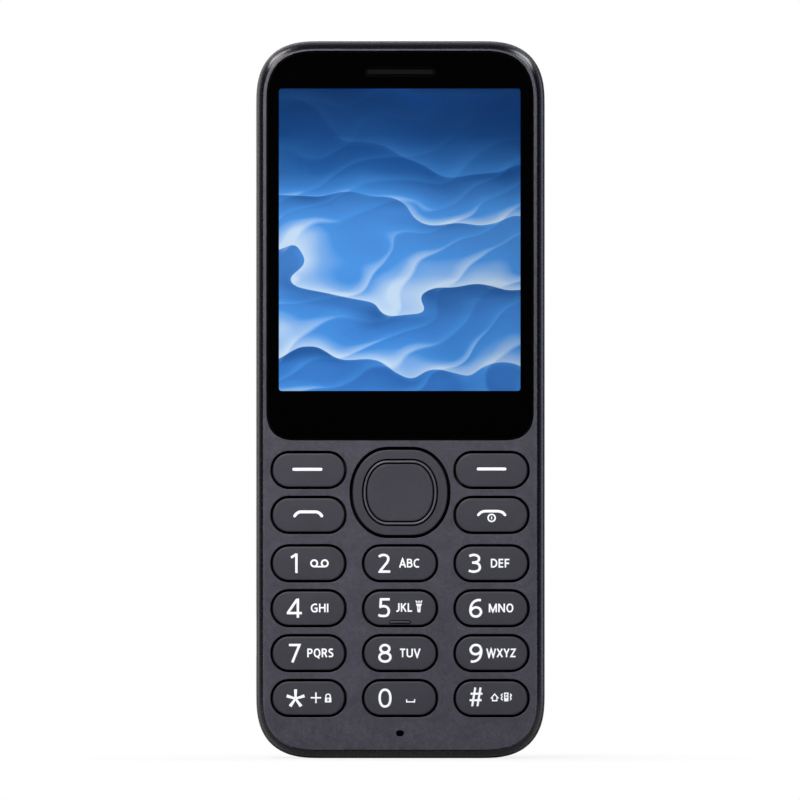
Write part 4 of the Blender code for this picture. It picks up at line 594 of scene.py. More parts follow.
def picture_material():
    """A generic abstract picture for the lit screen: long blue folds, dark above, pale where they crest."""
    n = material("screen_picture")
    height = n.between(n.axis("Z"), LIT_BOTTOM, LIT_TOP)
    across = n.between(n.axis("X"), LIT_LEFT, LIT_RIGHT)
    ground = n.ramp(height, (
        (0.0, (0.035, 0.17, 0.55)), (0.2, (0.05, 0.22, 0.66)), (0.42, (0.08, 0.28, 0.74)),
        (0.6, (0.06, 0.24, 0.66)), (0.72, (0.012, 0.095, 0.34)), (0.85, (0.005, 0.055, 0.22)),
        (1.0, (0.003, 0.03, 0.13)),
    ))
    # Folds: the height is bent by slow waves and noise, then cut into bands with one sharp side each
    bend = n.noise(0.03, 2, n.stretched((0.9, 1, 1.3)))
    curl = n.math("SINE", n.plus(n.times(across, 4.2), n.times(height, 5.0)))
    bent = n.plus(height, n.times(curl, 0.05))
    bent = n.plus(bent, n.spread(bend, -0.16, 0.16))
    slant = n.plus(bent, n.times(across, 0.22))
    fold = n.math("FRACT", n.times(slant, 4.3))
    crest = n.greys(fold, (0.0, 1), (0.16, 0.55), (0.5, 0.12), (0.94, 0), (1.0, 0.3))
    finer = n.math("FRACT", n.times(n.math("SUBTRACT", bent, n.times(across, 0.3)), 9.0))
    ripple = n.greys(finer, (0.0, 0.4), (0.3, 0.1), (0.9, 0), (1.0, 0.4))
    low = n.greys(height, (0.0, 0.75), (0.3, 0.9), (0.52, 1), (0.68, 0.3), (0.85, 0.03))
    glow = n.times(n.plus(crest, ripple), low, True)
    colour = n.blend(n.between(glow, 0.0, 0.55), ground, (0.075, 0.34, 0.86))
    colour = n.blend(n.between(glow, 0.4, 1.0), colour, (0.6, 0.78, 0.98))
    shadow = n.between(fold, 0.55, 0.95, 0, 0.7)
    patch = n.between(n.noise(0.014, 2, n.stretched((0.5, 1, 1.4))), 0.42, 0.6)
    colour = n.blend(n.times(shadow, patch, True), colour, (0.006, 0.06, 0.25))
    colour = n.blend(1.0, colour, n.between(across, 0.45, 1.0, 1.0, 0.72), "MULTIPLY")
    n.feed(n.shader.inputs["Emission Color"], colour)
    rough = n.spread(bend, 0.2, 0.3)
    return n.finish((0.003, 0.003, 0.004), rough, Emission_Strength=1.0, Specular_IOR_Level=0.05)


def floor_material():
    """Paper whose lit parts are white to the eye, and darker for what mirrors it."""
    n = material("floor_paper")
    shade = n.blend(n.noise(0.004, 3), (0.9, 0.9, 0.9), (0.94, 0.94, 0.94))
    light = n.add("ShaderNodeLightPath")
    mirrored = n.times(light.outputs["Is Glossy Ray"], 0.8)
    n.finish(n.blend(mirrored, shade, (0, 0, 0)), 0.9, Specular_IOR_Level=0.0)
    seen = n.times(light.outputs["Is Glossy Ray"], 0.1)
    seen = n.math("MAXIMUM", light.outputs["Is Camera Ray"], seen)
    seen = n.math("MAXIMUM", seen, light.outputs["Is Transmission Ray"])
    spot = n.add("ShaderNodeVectorMath", {0: n.place}, operation="LENGTH")
    share = n.between(spot.outputs["Value"], 0.02, 0.075, 0.8, 1.0)
    glow = n.add("ShaderNodeEmission")
    both = n.mixed(n.times(seen, share), n.shader.outputs[0], glow.outputs[0])
    n.feed(n.tree.nodes["Material Output"].inputs["Surface"], both)
    return n.owner


MATERIALS = make_materials()


def dress_cad():
    """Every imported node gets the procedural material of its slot."""
    slots = {entry["node"]: entry["material_slot"] for entry in frame["record"]["subparts"]}
    for name, obj in NODES.items():
        material = MATERIALS["plastic" if name == "display_module" else slots[name]]
        if not obj.material_slots:
            obj.data.materials.append(material)
        for slot in obj.material_slots:
            slot.material = material


# The face


def housing_profile():
    """The insets of the sides, bottom and top, and the depth, from the face's edge to the parting line."""
    face = (FACE_INSET_SIDE, FACE_INSET_BOTTOM, FACE_INSET_TOP)
    points = []
    for step in range(3):
        turn = math.pi / 2 * step / 3
        out = FACE_EDGE * (1 - math.sin(turn))
        points.append((*(inset + out for inset in face), FACE_EDGE_DEPTH * (1 - math.cos(turn))))
    start = math.radians(35)
    for step in range(11):
        angle = start + (math.pi / 2 - start) * step / 10
        inward = 1 - (math.sin(angle) - math.sin(start)) / (1 - math.sin(start))
        down = 1 - math.cos(angle) / math.cos(start)
        insets = (COVER_STEP + (inset - COVER_STEP) * inward for inset in face)
        points.append((*insets, FACE_EDGE_DEPTH + (PARTING_DEPTH - FACE_EDGE_DEPTH) * down))
    return points


def key_row_z(row):
    return FUNCTION_ROW_Z + ROW_PITCH * (row - 4) if row > 3 else BOTTOM_ROW_Z + ROW_PITCH * row


def key_places():
    rows = (
        ("key_star", "key_0", "key_hash"),
        ("key_7", "key_8", "key_9"),
        ("key_4", "key_5", "key_6"),
        ("key_1", "key_2", "key_3"),
        ("call_key", None, "end_key"),
        ("soft_key_left", None, "soft_key_right"),
    )
    places = []
    for row, names in enumerate(rows):
        for column, name in zip((-1, 0, 1), names):
            if name:
                places.append((name, column * COLUMN_PITCH, key_row_z(row), row))
    return places


def flared(outline, back, edge=OPENING_EDGE):
    """A cutter that leaves a rounded edge round its mouth."""
    stack = [section(outline(-edge), -OVERRUN)]
    stack += eased(lambda inset: outline(-inset), edge, 0)
    stack.append(section(outline(0), back))
    return stack


def housing_cutters():
    """The window's recess with the screen's opening in it, the keys' openings and the microphone's."""
    screen = rounded(
        -DISPLAY_HALF - SCREEN_GAP, DISPLAY_HALF + SCREEN_GAP, DISPLAY_BOTTOM - SCREEN_GAP,
        DISPLAY_TOP + SCREEN_GAP, (SCREEN_CORNER, SCREEN_CORNER), steps=WINDOW_STEPS,
    )
    recess = flared(window_outline, WINDOW_SEAT, 0.00004)
    cutters = [[*recess, section(screen, WINDOW_SEAT), section(screen, WINDOW_WALL + OVERRUN)]]
    for _, x, z, _ in key_places():
        cutters.append(flared(oblong(x, z, KEY_WIDTH, KEY_HEIGHT, KEY_CORNER), FRONT_WALL + OVERRUN))
    cutters.append(flared(nav_outline, FRONT_WALL + OVERRUN))
    cutters.append(flared(mic_outline, FRONT_WALL + OVERRUN, 0.00008))
    return cutters


def colour_housing(shell):
    """Paint on the face, its chamfer and the flank; painted shade in near-black plastic inside the openings;
    and on the side chamfers a paler paint as a painted highlight.
    """
    brink = body_outline(WINDOW_SIDE - BRINK, FACE_INSET_BOTTOM, WINDOW_BORDER_TOP - BRINK)
    for face in shell.data.polygons:
        x, y, z = face.center
        inside = within(brink, x, z)
        # Painted shade on the walls inside the openings
        if inside and y > FACE_Y + OPENING_EDGE * 0.35:
            face.material_index = 2
        elif not inside and face.normal.y > -0.75 and y > FACE_Y + FACE_EDGE_DEPTH * 1.02:
            face.material_index = 1
        # Painted highlight: the chamfer beside the sides gets the paler edge paint
        elif abs(face.normal.x) > max(abs(face.normal.z), 0.1) and not inside:
            face.material_index = 3


def make_housing():
    stack = [section(body_outline(side, end, top), depth) for side, end, top, depth in housing_profile()]
    cavity = body_outline(CAVITY_INSET_SIDE, CAVITY_INSET_END)
    stack += [section(cavity, PARTING_DEPTH), section(cavity, FRONT_WALL)]
    shell = place("housing_shell", loft("housing_shell", [stack]), "housing", "flank", "gap", "edge")
    half = BODY_WIDTH / 2 - CAVITY_INSET_SIDE - WALL_GAP
    reach = CORNER_REACH - CAVITY_INSET_SIDE
    wall = rounded(
        -half, half, WINDOW_BOTTOM - 0.0004, BODY_HEIGHT - CAVITY_INSET_END - WALL_GAP,
        (0.0002, 0.0002), (reach, reach), CORNER_EXPONENT, BODY_STEPS,
    )
    carve(shell, [[section(wall, FRONT_WALL - 0.0002), section(wall, WINDOW_WALL)]], "UNION")
    carve(shell, housing_cutters())
    pocket_back = 0.0019
    carve(shell, [stacked(
        slot_outline, (0.00085, WINDOW_SEAT - OVERRUN), (0.00085, pocket_back), (0, pocket_back),
        (0, WINDOW_WALL + OVERRUN),
    )])
    colour_housing(shell)
    declare(shell, "housing", ["front_housing"])


def mic_outline(inset):
    return centred(0, MIC_Z, MIC_WIDTH, MIC_HEIGHT, MIC_CORNER, inset, 8)


def make_mic_weave():
    """The black weave that keeps dust out of the microphone hole."""
    stack = stacked(mic_outline, (-0.0003, FRONT_WALL + 0.00002), (-0.0003, FRONT_WALL + 0.00008))
    body_piece("mic_weave", [stack], "mesh", "housing")


def lit_outline():
    return rounded(LIT_LEFT, LIT_RIGHT, LIT_BOTTOM, LIT_TOP, (LIT_CORNER, LIT_CORNER), steps=WINDOW_STEPS)


def make_window():
    """The lens: black behind its border, clear over the lit part of the screen."""
    lit = lit_outline()
    outer = eased(lambda inset: window_outline(WINDOW_GAP + inset), 0.00008, WINDOW_SET)
    loops = [section(lit, WINDOW_SET), *outer, section(window_outline(WINDOW_GAP), WINDOW_BACK)]
    loops.append(section(lit, WINDOW_BACK))
    lens = place("window_lens", loft("window_lens", [loops]), "window", "pane", "gap")
    slot = [section(slot_outline(0.0001), -OVERRUN), *eased(slot_outline, 0.0001, WINDOW_SET)]
    carve(lens, [[*slot, section(slot_outline(0), WINDOW_SEAT)]])
    for face in lens.data.polygons:
        x, y, z = face.center
        middle = LIT_LEFT < x < LIT_RIGHT and LIT_BOTTOM < z < LIT_TOP
        reach = max(abs(lens.data.vertices[v].co.x) for v in face.vertices)
        if middle and abs(face.normal.y) > 0.9 and reach < -LIT_LEFT + 0.0001:
            face.material_index = 1
        # Painted shade: the lens's rounded edge gets near-black plastic in place of its highlight
        elif face.normal.y > -0.997 and y > FACE_Y + WINDOW_SET:
            face.material_index = 2
    declare(lens, "housing", ["display_window"])


def make_picture():
    front = WINDOW_BACK + 0.00012
    stack = [section(lit_outline(), front), section(lit_outline(), front + 0.0001)]
    body_piece("screen_picture", [stack], "picture", "housing")


# Keys and their legends


def make_cap(name, x, z, row):
    """A key's domed cap, and its lip under the face, cut short beside the ring in the upper rows."""
    gap = KEY_GAP + CAP_SPARE
    cap = oblong(x, z, KEY_WIDTH - 2 * gap, KEY_HEIGHT - 2 * gap, KEY_CORNER - gap)
    stack = crowned(cap(KEY_EDGE), CAP_DOME - KEY_PROUD, CAP_DOME)
    stack += eased(cap, KEY_EDGE, CAP_DOME - KEY_PROUD, 5)
    stack.append(section(cap(0), FLANGE_FRONT))
    left = right = KEY_WIDTH / 2 + LIP_SIDE
    if row > 3:
        left, right = (left, right - LIP_CUT) if x < 0 else (left - LIP_CUT, right)
    half = KEY_HEIGHT / 2 + LIP_END
    lip = rounded(x - left, x + right, z - half, z + half, (LIP_CORNER, LIP_CORNER))
    flange = [section(lip, FLANGE_FRONT - 0.00001), section(lip, FLANGE_BACK)]
    piece = body_piece("cap_" + name, [stack, flange], "keys", name, [name])
    # Painted shade on the cap's sides below its rounded edge
    darken(piece, KEY_EDGE * 0.6 - KEY_PROUD)


def make_pip(x, z):
    """The raised bar under the 5, which a fingertip finds, in a thin ring of painted shade round it."""
    bar = oblong(x, z - PIP_DROP, 0.0037, 0.00042, 0.0002, 6)
    stack = eased(bar, 0.0001, -KEY_PROUD - PIP_PROUD, 4)
    stack.append(section(bar(0), 0.0001 - KEY_PROUD))
    body_piece("bar_on_5", [stack], "keys", "key_5")
    front, outer, inner = -KEY_PROUD - PRINT_PROUD, -0.00015, 0.00002
    rim = stacked(bar, (outer, -KEY_PROUD), (outer, front), (inner, front), (inner, -KEY_PROUD))
    # Painted shade: a thin near-black ring round the bar
    body_piece("bar_painted_shade", [rim], "gap", "key_5", ring=True)


def make_keys():
    for name, x, z, row in key_places():
        make_cap(name, x, z, row)
        if name == "key_5":
            make_pip(x, z)


def make_nav():
    front = -KEY_PROUD
    stack = stacked(select_outline, (0, SELECT_EDGE - KEY_PROUD), (-SELECT_EDGE, front))
    stack += eased(lambda inset: nav_outline(NAV_GAP + inset), NAV_EDGE, front, 5)
    lip = -LIP_END
    stack += stacked(nav_outline, (NAV_GAP, FLANGE_FRONT), (lip, NAV_LIP_FRONT), (lip, NAV_LIP_BACK))
    stack += stacked(select_outline, (-SELECT_ROOM, NAV_LIP_BACK), (-SELECT_ROOM, NAV_ROOF), (0, NAV_ROOF))
    ring = body_piece("nav_rocker", [stack], "keys", "nav_ring", ["nav_ring"], ring=True)
    # Painted shade on the rocker's sides below its rounded edge
    darken(ring, NAV_EDGE * 0.45 - KEY_PROUD)


def make_select():
    """The select key's dished pad with painted shade in the groove, and the fine bead round it, painted paler
    as a painted highlight.
    """
    floor = SELECT_GROOVE_DEPTH - KEY_PROUD
    seat = BEAD_SEAT - KEY_PROUD
    bead = SELECT_GAP + SELECT_EDGE + SELECT_BEAD
    groove = bead + SELECT_GROOVE
    edge = SELECT_SOFT_EDGE
    stack = crowned(select_outline(groove + edge), -KEY_PROUD, -SELECT_DISH)
    stack += eased(lambda inset: select_outline(groove + inset), edge, -KEY_PROUD)
    stack += stacked(
        select_outline, (groove, floor), (bead, floor), (bead, seat), (SELECT_GAP, seat),
        (SELECT_GAP, SELECT_LIP_FRONT), (-LIP_SIDE, SELECT_LIP_FRONT), (-LIP_SIDE, SELECT_LIP_BACK),
    )
    cap = body_piece("select_cap", [stack], "keys", "select_key", ["select_key"])
    # Painted shade in the groove and below the pad's rounded edge
    darken(cap, edge * 0.6 - KEY_PROUD)
    crest = (bead - SELECT_GAP - 0.00004) / 2
    ring = []
    for step in range(9):
        turn = math.pi * step / 8
        inset = bead - 0.00002 - crest * (1 - math.cos(turn))
        ring.append(section(select_outline(inset), seat - BEAD_SEAT * math.sin(turn)))
    # The bead's paler paint is a painted highlight
    body_piece("select_bead", [ring], "bead", "select_key", ring=True)


class Print:
    """Printed shapes on a key, gathered as flat polygons in pixels from the key's centre, +y up."""

    def __init__(self):
        self.points = []
        self.faces = []

    def polygon(self, points):
        start = len(self.points)
        area = sum(a[0] * b[1] - b[0] * a[1] for a, b in zip(points, points[1:] + points[:1]))
        self.points += list(points) if area > 0 else list(reversed(points))
        self.faces.append(list(range(start, len(self.points))))

    def bar(self, left, right, bottom, top):
        self.polygon([(left, bottom), (right, bottom), (right, top), (left, top)])

    def disc(self, x, y, radius):
        self.polygon(circle(x, y, radius, 20))

    def stroke(self, points, width, closed=False, ends="flat"):
        """A line of even width through points, with mitred corners."""
        points = [Vector(point) for point in points]
        count = len(points)
        spans = count if closed else count - 1
        for index in range(spans):
            near, far = points[index], points[(index + 1) % count]
            side = (far - near).normalized().orthogonal() * width / 2
            self.polygon([tuple(near + side), tuple(near - side), tuple(far - side), tuple(far + side)])
        corners = range(count) if closed else range(1, count - 1)
        for index in corners:
            self.corner(points[index - 1], points[index], points[(index + 1) % count], width)
        if ends == "round":
            self.disc(*points[0], width / 2)
            self.disc(*points[-1], width / 2)

    def corner(self, before, here, after, width):
        arrive = (here - before).normalized()
        leave = (after - here).normalized()
        turn = arrive.cross(leave)
        if abs(turn) < 0.001:
            return
        outward = 1 if turn < 0 else -1
        first = here + arrive.orthogonal() * width / 2 * outward
        second = here + leave.orthogonal() * width / 2 * outward
        middle = (arrive.orthogonal() + leave.orthogonal()).normalized() * outward
        reach = width / 2 / max(math.sqrt((1 + arrive.dot(leave)) / 2), 0.4)
        self.polygon([tuple(here), tuple(first), tuple(here + middle * reach), tuple(second)])

    def mesh(self, name, x, z, depth):
        """The union of the shapes, as one thin printed layer about the key's centre."""
        points, _, faces, _, _, sources = delaunay_2d_cdt(
            [Vector(point) for point in self.points], [], self.faces, 1, 1e-4
        )
        shape = bmesh.new()
        verts = [shape.verts.new((x + p.x * PIXEL, FACE_Y + depth, z + p.y * PIXEL)) for p in points]
        for face, source in zip(faces, sources):
            if not source:
                continue
            made = shape.faces.new([verts[index] for index in face])
            made.normal_update()
            if made.normal.y > 0:
                made.normal_flip()
        bmesh.ops.delete(shape, geom=[v for v in shape.verts if not v.link_faces], context="VERTS")
        return meshed(name, shape)


def spline(points, steps=7):
    """A smooth curve through points."""
    made = []
    padded = [points[0], *points, points[-1]]
    for near in zip(padded, padded[1:], padded[2:], padded[3:]):
        for step in range(steps):
            t = step / steps
            made.append(tuple(
                0.5 * (2 * b + (c - a) * t + (2 * a - 5 * b + 4 * c - d) * t * t
                       + (3 * b - a - 3 * c + d) * t ** 3)
                for a, b, c, d in zip(*near)
            ))
    return [*made, tuple(points[-1])]


def oval(x, y, across, up, exponent=2.0, start=0, end=360, steps=36):
    points = []
    for step in range(steps + (0 if end - start == 360 else 1)):
        angle = math.radians(start + (end - start) * step / steps)
        c, s = math.cos(angle), math.sin(angle)
        points.append((
            x + across * math.copysign(abs(c) ** (2 / exponent), c),
            y + up * math.copysign(abs(s) ** (2 / exponent), s),
        ))
    return points


# Each character: its width, then its strokes, in hundredths of the cap height. The lines run down the
# middle of the strokes. "s" is a smooth stroke, "l" one of straight runs, "o" a closed oval, given by its
# middle, its reaches and, where it is fuller than an ellipse, its exponent.
CAP_HEIGHT = 100
STEM = ("l", (9, 0), (9, 100))
DIGITS = {
    "1": (40, (("l", (32.5, 0), (32.5, 100)), ("l", (5, 79), (33, 96.5)))),
    "2": (69, (("s", (6.5, 84.5), (19, 90.5), (32, 92.5), (46, 89.5), (54.5, 80), (55, 68), (49, 54),
          (36, 38), (13, 10)), ("l", (13, 10), (12, 7.5), (66, 7.5)))),
    "3": (68, (("s", (6, 86.5), (19, 91.5), (33, 92.5), (48, 88), (56, 77), (53, 64), (41, 56), (20, 53.5)),
          ("s", (20, 53.5), (40, 52), (55, 44), (60.5, 29), (54, 15), (38, 8), (20, 7.5), (3, 12.5)))),
    "4": (77, (("l", (56.5, 0), (56.5, 100)), ("l", (0, 24.5), (77, 24.5)), ("l", (52.5, 95.5), (6, 27)))),
    "5": (67, (("l", (14, 55), (16.5, 92.5), (61, 92.5)), ("s", (9, 51), (20, 56), (34, 57), (49, 51),
          (56.5, 36), (54, 20), (45, 9.5), (28, 7), (13, 8.5), (3, 12.5)))),
    "6": (72, (("s", (62, 91.5), (47, 92), (30, 86), (16.5, 72), (9, 50), (9.5, 28), (19, 12), (36, 7.2),
          (52, 12), (63, 30), (55, 48), (38, 54.5), (20, 49), (10, 37)),)),
    "7": (68, (("l", (5, 93), (59, 93), (22.5, 3)),)),
    "8": (72, (("o", 36, 73.5, 22.5, 19), ("o", 36, 30, 28, 22.8))),
    "9": (72, (("s", (10, 8.5), (25, 8), (42, 14), (55.5, 28), (63, 50), (62.5, 72), (53, 88), (36, 92.8),
          (20, 88), (9, 70), (17, 52), (34, 45.5), (52, 51), (62, 63)),)),
    "0": (70, (("o", 35, 50, 27.4, 42.5, 2.25),)),
    "#": (66, (("l", (13, 2), (29, 98)), ("l", (40, 2), (56, 98)), ("l", (0, 33), (61, 33)), ("l", (5, 66),
          (66, 66)))),
}
LETTERS = {
    "A": (74, (("l", (3, 0), (37, 99), (71, 0)), ("l", (15, 33), (59, 33)))),
    "B": (66, (STEM, ("s", (9, 92), (36, 92), (50, 86), (53, 74), (48, 60), (34, 55),
          (9, 54)), ("s", (30, 54), (48, 51), (58.5, 40), (58, 22), (46, 10), (30, 8), (9, 8)))),
    "C": (68, (("s", (66, 88), (50, 93), (33, 90), (16, 76), (9, 50), (15, 24), (31, 10), (48, 7),
          (65, 11)),)),
    "D": (74, (STEM, ("s", (9, 92), (34, 92), (54, 82), (65, 62), (65, 38), (54, 18),
          (34, 8), (9, 8)))),
    "E": (56, (("l", (54, 92), (9, 92), (9, 8), (54, 8)), ("l", (9, 52), (51, 52)))),
    "F": (53, (("l", (53, 92), (9, 92), (9, 0)), ("l", (9, 49), (50, 49)))),
    "G": (77, (("s", (69, 88), (52, 93), (34, 90), (16, 76), (9, 50), (15, 24), (31, 10), (50, 7),
          (68, 12)), ("l", (68, 10), (68, 46), (42, 46)))),
    "H": (74, (STEM, ("l", (65, 0), (65, 100)), ("l", (9, 53), (65, 53)))),
    "I": (18, (STEM,)),
    "J": (38, (("s", (0, 8), (12, 7.5), (24, 14), (29, 30)), ("l", (29, 28), (29, 100)))),
    "K": (66, (STEM, ("l", (58, 100), (15, 45)), ("l", (26, 58), (61, 0)))),
    "L": (52, (("l", (9, 100), (9, 8), (52, 8)),)),
    "M": (92, (STEM, ("l", (83, 0), (83, 100)), ("l", (10, 97), (46, 6), (82, 97)))),
    "N": (77, (STEM, ("l", (68, 0), (68, 100)), ("l", (10, 96), (67, 4)))),
    "O": (80, (("o", 40, 50, 31, 43, 2.1),)),
    "P": (62, (STEM, ("s", (9, 92), (34, 92), (49, 86), (54, 70), (49, 54), (34, 46),
          (9, 45)))),
    "Q": (80, (("o", 40, 50, 31, 43, 2.1), ("l", (42, 10), (66, -16)))),
    "R": (66, (STEM, ("s", (9, 92), (34, 92), (48, 87), (53, 72), (48, 57), (34, 50),
          (9, 49)), ("l", (34, 50), (60, 0)))),
    "S": (58, (("s", (52, 88), (37, 93), (20, 91), (9, 78), (14, 62), (30, 52), (46, 41), (50, 24),
          (40, 11), (22, 7), (4, 12)),)),
    "T": (60, (("l", (0, 92), (60, 92)), ("l", (30, 92), (30, 0)))),
    "U": (73, (("l", (9, 100), (9, 35)), ("s", (9, 36), (14, 16), (28, 8), (45, 8), (59, 16), (64, 36)),
          ("l", (64, 35), (64, 100)))),
    "V": (68, (("l", (3, 100), (34, 2), (65, 100)),)),
    "W": (102, (("l", (3, 100), (27, 2), (51, 95), (75, 2), (99, 100)),)),
    "X": (66, (("l", (4, 0), (61, 100)), ("l", (5, 100), (62, 0)))),
    "Y": (62, (("l", (3, 100), (31, 42), (59, 100)), ("l", (31, 44), (31, 0)))),
    "Z": (60, (("l", (3, 92), (53, 92), (6, 8), (58, 8)),)),
}
LETTER_SPACE = 13


def draw(sheet, glyph, x, y, across, up, weight):
    """One character, its lower left corner at x, y, with across and up pixels to a unit of its own."""
    for kind, *data in glyph[1]:
        if kind == "o":
            cx, cy, rx, ry, *rest = data
            path = oval(cx, cy, rx, ry, *rest)
        else:
            path = spline(data) if kind == "s" else data
        path = [(x + px * across, y + py * up) for px, py in path]
        sheet.stroke(path, weight, closed=kind == "o")


def write(sheet, words, left, right, bottom, top, weight):
    """Letters spread to fill the width between left and right."""
    natural = sum(LETTERS[letter][0] for letter in words) + LETTER_SPACE * (len(words) - 1)
    across = (right - left) / natural
    x = left
    for letter in words:
        draw(sheet, LETTERS[letter], x, bottom, across, (top - bottom) / CAP_HEIGHT, weight)
        x += (LETTERS[letter][0] + LETTER_SPACE) * across


# Digit, its box, the letters and their box, in pixels from the key's centre: left, right, bottom, top
KEY_PRINTS = {
    "key_1": ("1", (-18.4, -10.7, -9.7, 9.8), None, None),
    "key_2": ("2", (-22.5, -9.2, -9.7, 9.8), "ABC", (-0.6, 19.2, -4.2, 4.5)),
    "key_3": ("3", (-23.3, -10.2, -9.7, 9.8), "DEF", (-0.8, 17.8, -4.2, 4.5)),
    "key_4": ("4", (-21.7, -6.7, -9.5, 9.7), "GHI", (2.2, 19.9, -4.0, 4.6)),
    "key_5": ("5", (-22.3, -9.2, -9.1, 10.4), "JKL", (-3.7, 12.0, -3.5, 5.1)),
    "key_6": ("6", (-22.7, -8.7, -9.6, 9.7), "MNO", (-2.8, 21.9, -4.0, 4.6)),
    "key_7": ("7", (-20.6, -7.4, -9.8, 9.5), "PQRS", (-1.3, 24.8, -4.0, 4.6)),
    "key_8": ("8", (-22.2, -8.0, -9.8, 9.6), "TUV", (-0.1, 20.1, -4.0, 4.6)),
    "key_9": ("9", (-22.7, -8.7, -9.8, 9.6), "WXYZ", (-4.9, 24.2, -4.0, 4.6)),
    "key_0": ("0", (-21.8, -8.2, -9.8, 9.9), None, None),
    "key_hash": ("#", (-21.9, -9.0, -8.5, 11.1), None, None),
}
DIGIT_WEIGHT = 2.45
HASH_WEIGHT = 2.1
LETTER_WEIGHT = 1.5
DASH_WEIGHT = 3.0


def icon_mail(sheet):
    """Two reels and the tape under them."""
    for x in (5.6, 16.2):
        sheet.stroke(oval(x, 0, 3.1, 3.2), 1.75, closed=True)
    sheet.stroke([(5.6, -3.3), (16.2, -3.3)], 1.6)


def icon_torch(sheet):
    sheet.polygon([(15.8, 4.6), (21.9, 4.6), (21.5, 3.2), (20.6, 1.9), (17.1, 1.9), (16.2, 3.2)])
    sheet.polygon([(17.1, 2.0), (18.5, 2.0), (18.5, -4.0), (17.9, -4.0), (17.3, -3.2)])
    sheet.polygon([(19.2, 2.0), (20.6, 2.0), (20.4, -3.2), (19.8, -4.0), (19.2, -4.0)])
    sheet.bar(18.4, 19.3, -4.0, -0.9)
    for x, lean in ((17.2, -1.4), (18.85, 0), (20.5, 1.4)):
        sheet.stroke([(x, 5.5), (x + lean, 7.6)], 1.4)


def icon_star(sheet):
    for arm in range(5):
        angle = math.radians(90 + 72 * arm)
        out = Vector((math.cos(angle), math.sin(angle)))
        side = out.orthogonal()
        near, far = out * 0.2, out * 9.4
        corners = [near + side * 1.05, near - side * 1.05, far - side * 1.6, far + side * 1.6]
        sheet.polygon([(-13.0 + c.x, -0.6 + c.y) for c in corners])


def icon_plus(sheet):
    sheet.stroke([(2.2, 0.4), (12.6, 0.4)], 1.5)
    sheet.stroke([(7.4, -5.0), (7.4, 5.7)], 1.5)


def icon_lock(sheet):
    arch = oval(19.5, 1.9, 2.2, 2.15, 2, 180, 0, 12)
    sheet.stroke([(17.3, 0.2), *arch, (21.7, 0.2)], 1.25)
    sheet.bar(16.3, 22.7, -0.7, 0.45)
    sheet.bar(16.3, 18.75, -3.0, -0.7)
    sheet.bar(20.3, 22.7, -3.0, -0.7)
    sheet.bar(16.3, 22.7, -4.3, -3.0)


def icon_cup(sheet):
    sheet.stroke([(6.6, -1.0), (6.6, -3.75), (14.5, -3.75), (14.5, -1.0)], 1.25)


def icon_arrow(sheet):
    sheet.stroke(
        [(0.95, -2.55), (0.95, 0.25), (-0.2, 0.25), (3.15, 4.1), (6.5, 0.25), (5.35, 0.25), (5.35, -2.55)],
        1.15, closed=True,
    )


def icon_buzz(sheet):
    sheet.stroke([(13.15, -2.6), (16.3, -2.6), (16.3, 5.0), (13.15, 5.0)], 1.25, closed=True)
    sheet.bar(13.0, 16.5, -2.8, 0.1)
    sheet.bar(14.1, 15.4, 1.4, 2.8)
    for x, way in ((10.9, -1), (18.5, 1)):
        out, back = x + way * 1.2, x + way * 0.3
        sheet.stroke([(x, 4.5), (out, 2.9), (back, 1.2), (out, -0.5), (x, -2.1)], 1.15)


def handset(sheet, left, right, weight):
    """A bar between two ends that curve down."""
    for end in (left, right):
        sheet.stroke(spline(end, 5), weight, ends="round")
    sheet.stroke([left[-1], right[0]], weight)


def icon_call(sheet):
    left = [(-13.9, -1.0), (-12.0, 1.3), (-9.3, 2.9), (-6.5, 3.1)]
    handset(sheet, left, [(6.0, 3.1), (8.6, 2.9), (11.4, 1.3), (13.2, -0.9)], 2.9)


def icon_end(sheet):
    left = [(-13.2, 0.1), (-10.9, 2.4), (-7.8, 3.6), (-5.0, 3.8)]
    handset(sheet, left, [(5.1, 3.8), (8.0, 3.6), (11.2, 2.4), (13.4, 0.1)], 2.6)
    sheet.stroke(oval(0.1, -2.95, 3.55, 3.55), 1.45, closed=True)
    sheet.stroke([(0.1, -4.4), (0.1, -1.5)], 1.1)


KEY_ICONS = {
    "key_1": (icon_mail,), "key_5": (icon_torch,), "key_0": (icon_cup,),
    "key_star": (icon_star, icon_plus, icon_lock), "key_hash": (icon_arrow, icon_buzz),
    "call_key": (icon_call,), "end_key": (icon_end,),
}
SOFT_DASHES = {"soft_key_left": (-14.7, 12.4, 0.7), "soft_key_right": (-13.3, 13.3, 1.1)}


def make_legends():
    for name, x, z, _ in key_places():
        sheet = Print()
        if name in KEY_PRINTS:
            digit, (left, right, bottom, top), words, box = KEY_PRINTS[name]
            glyph = DIGITS[digit]
            weight = HASH_WEIGHT if digit == "#" else DIGIT_WEIGHT
            draw(sheet, glyph, left, bottom, (right - left) / glyph[0], (top - bottom) / CAP_HEIGHT, weight)
            if words:
                write(sheet, words, *box, LETTER_WEIGHT)
        for icon in KEY_ICONS.get(name, ()):
            icon(sheet)
        if name in SOFT_DASHES:
            left, right, up = SOFT_DASHES[name]
            sheet.stroke([(left, up), (right, up)], DASH_WEIGHT, ends="round")
        mesh = sheet.mesh("legend_" + name, x, z, -KEY_PROUD - PRINT_PROUD)
        legend = place("legend_" + name, mesh, "ink")
        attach(legend, name)


# The back and the ends


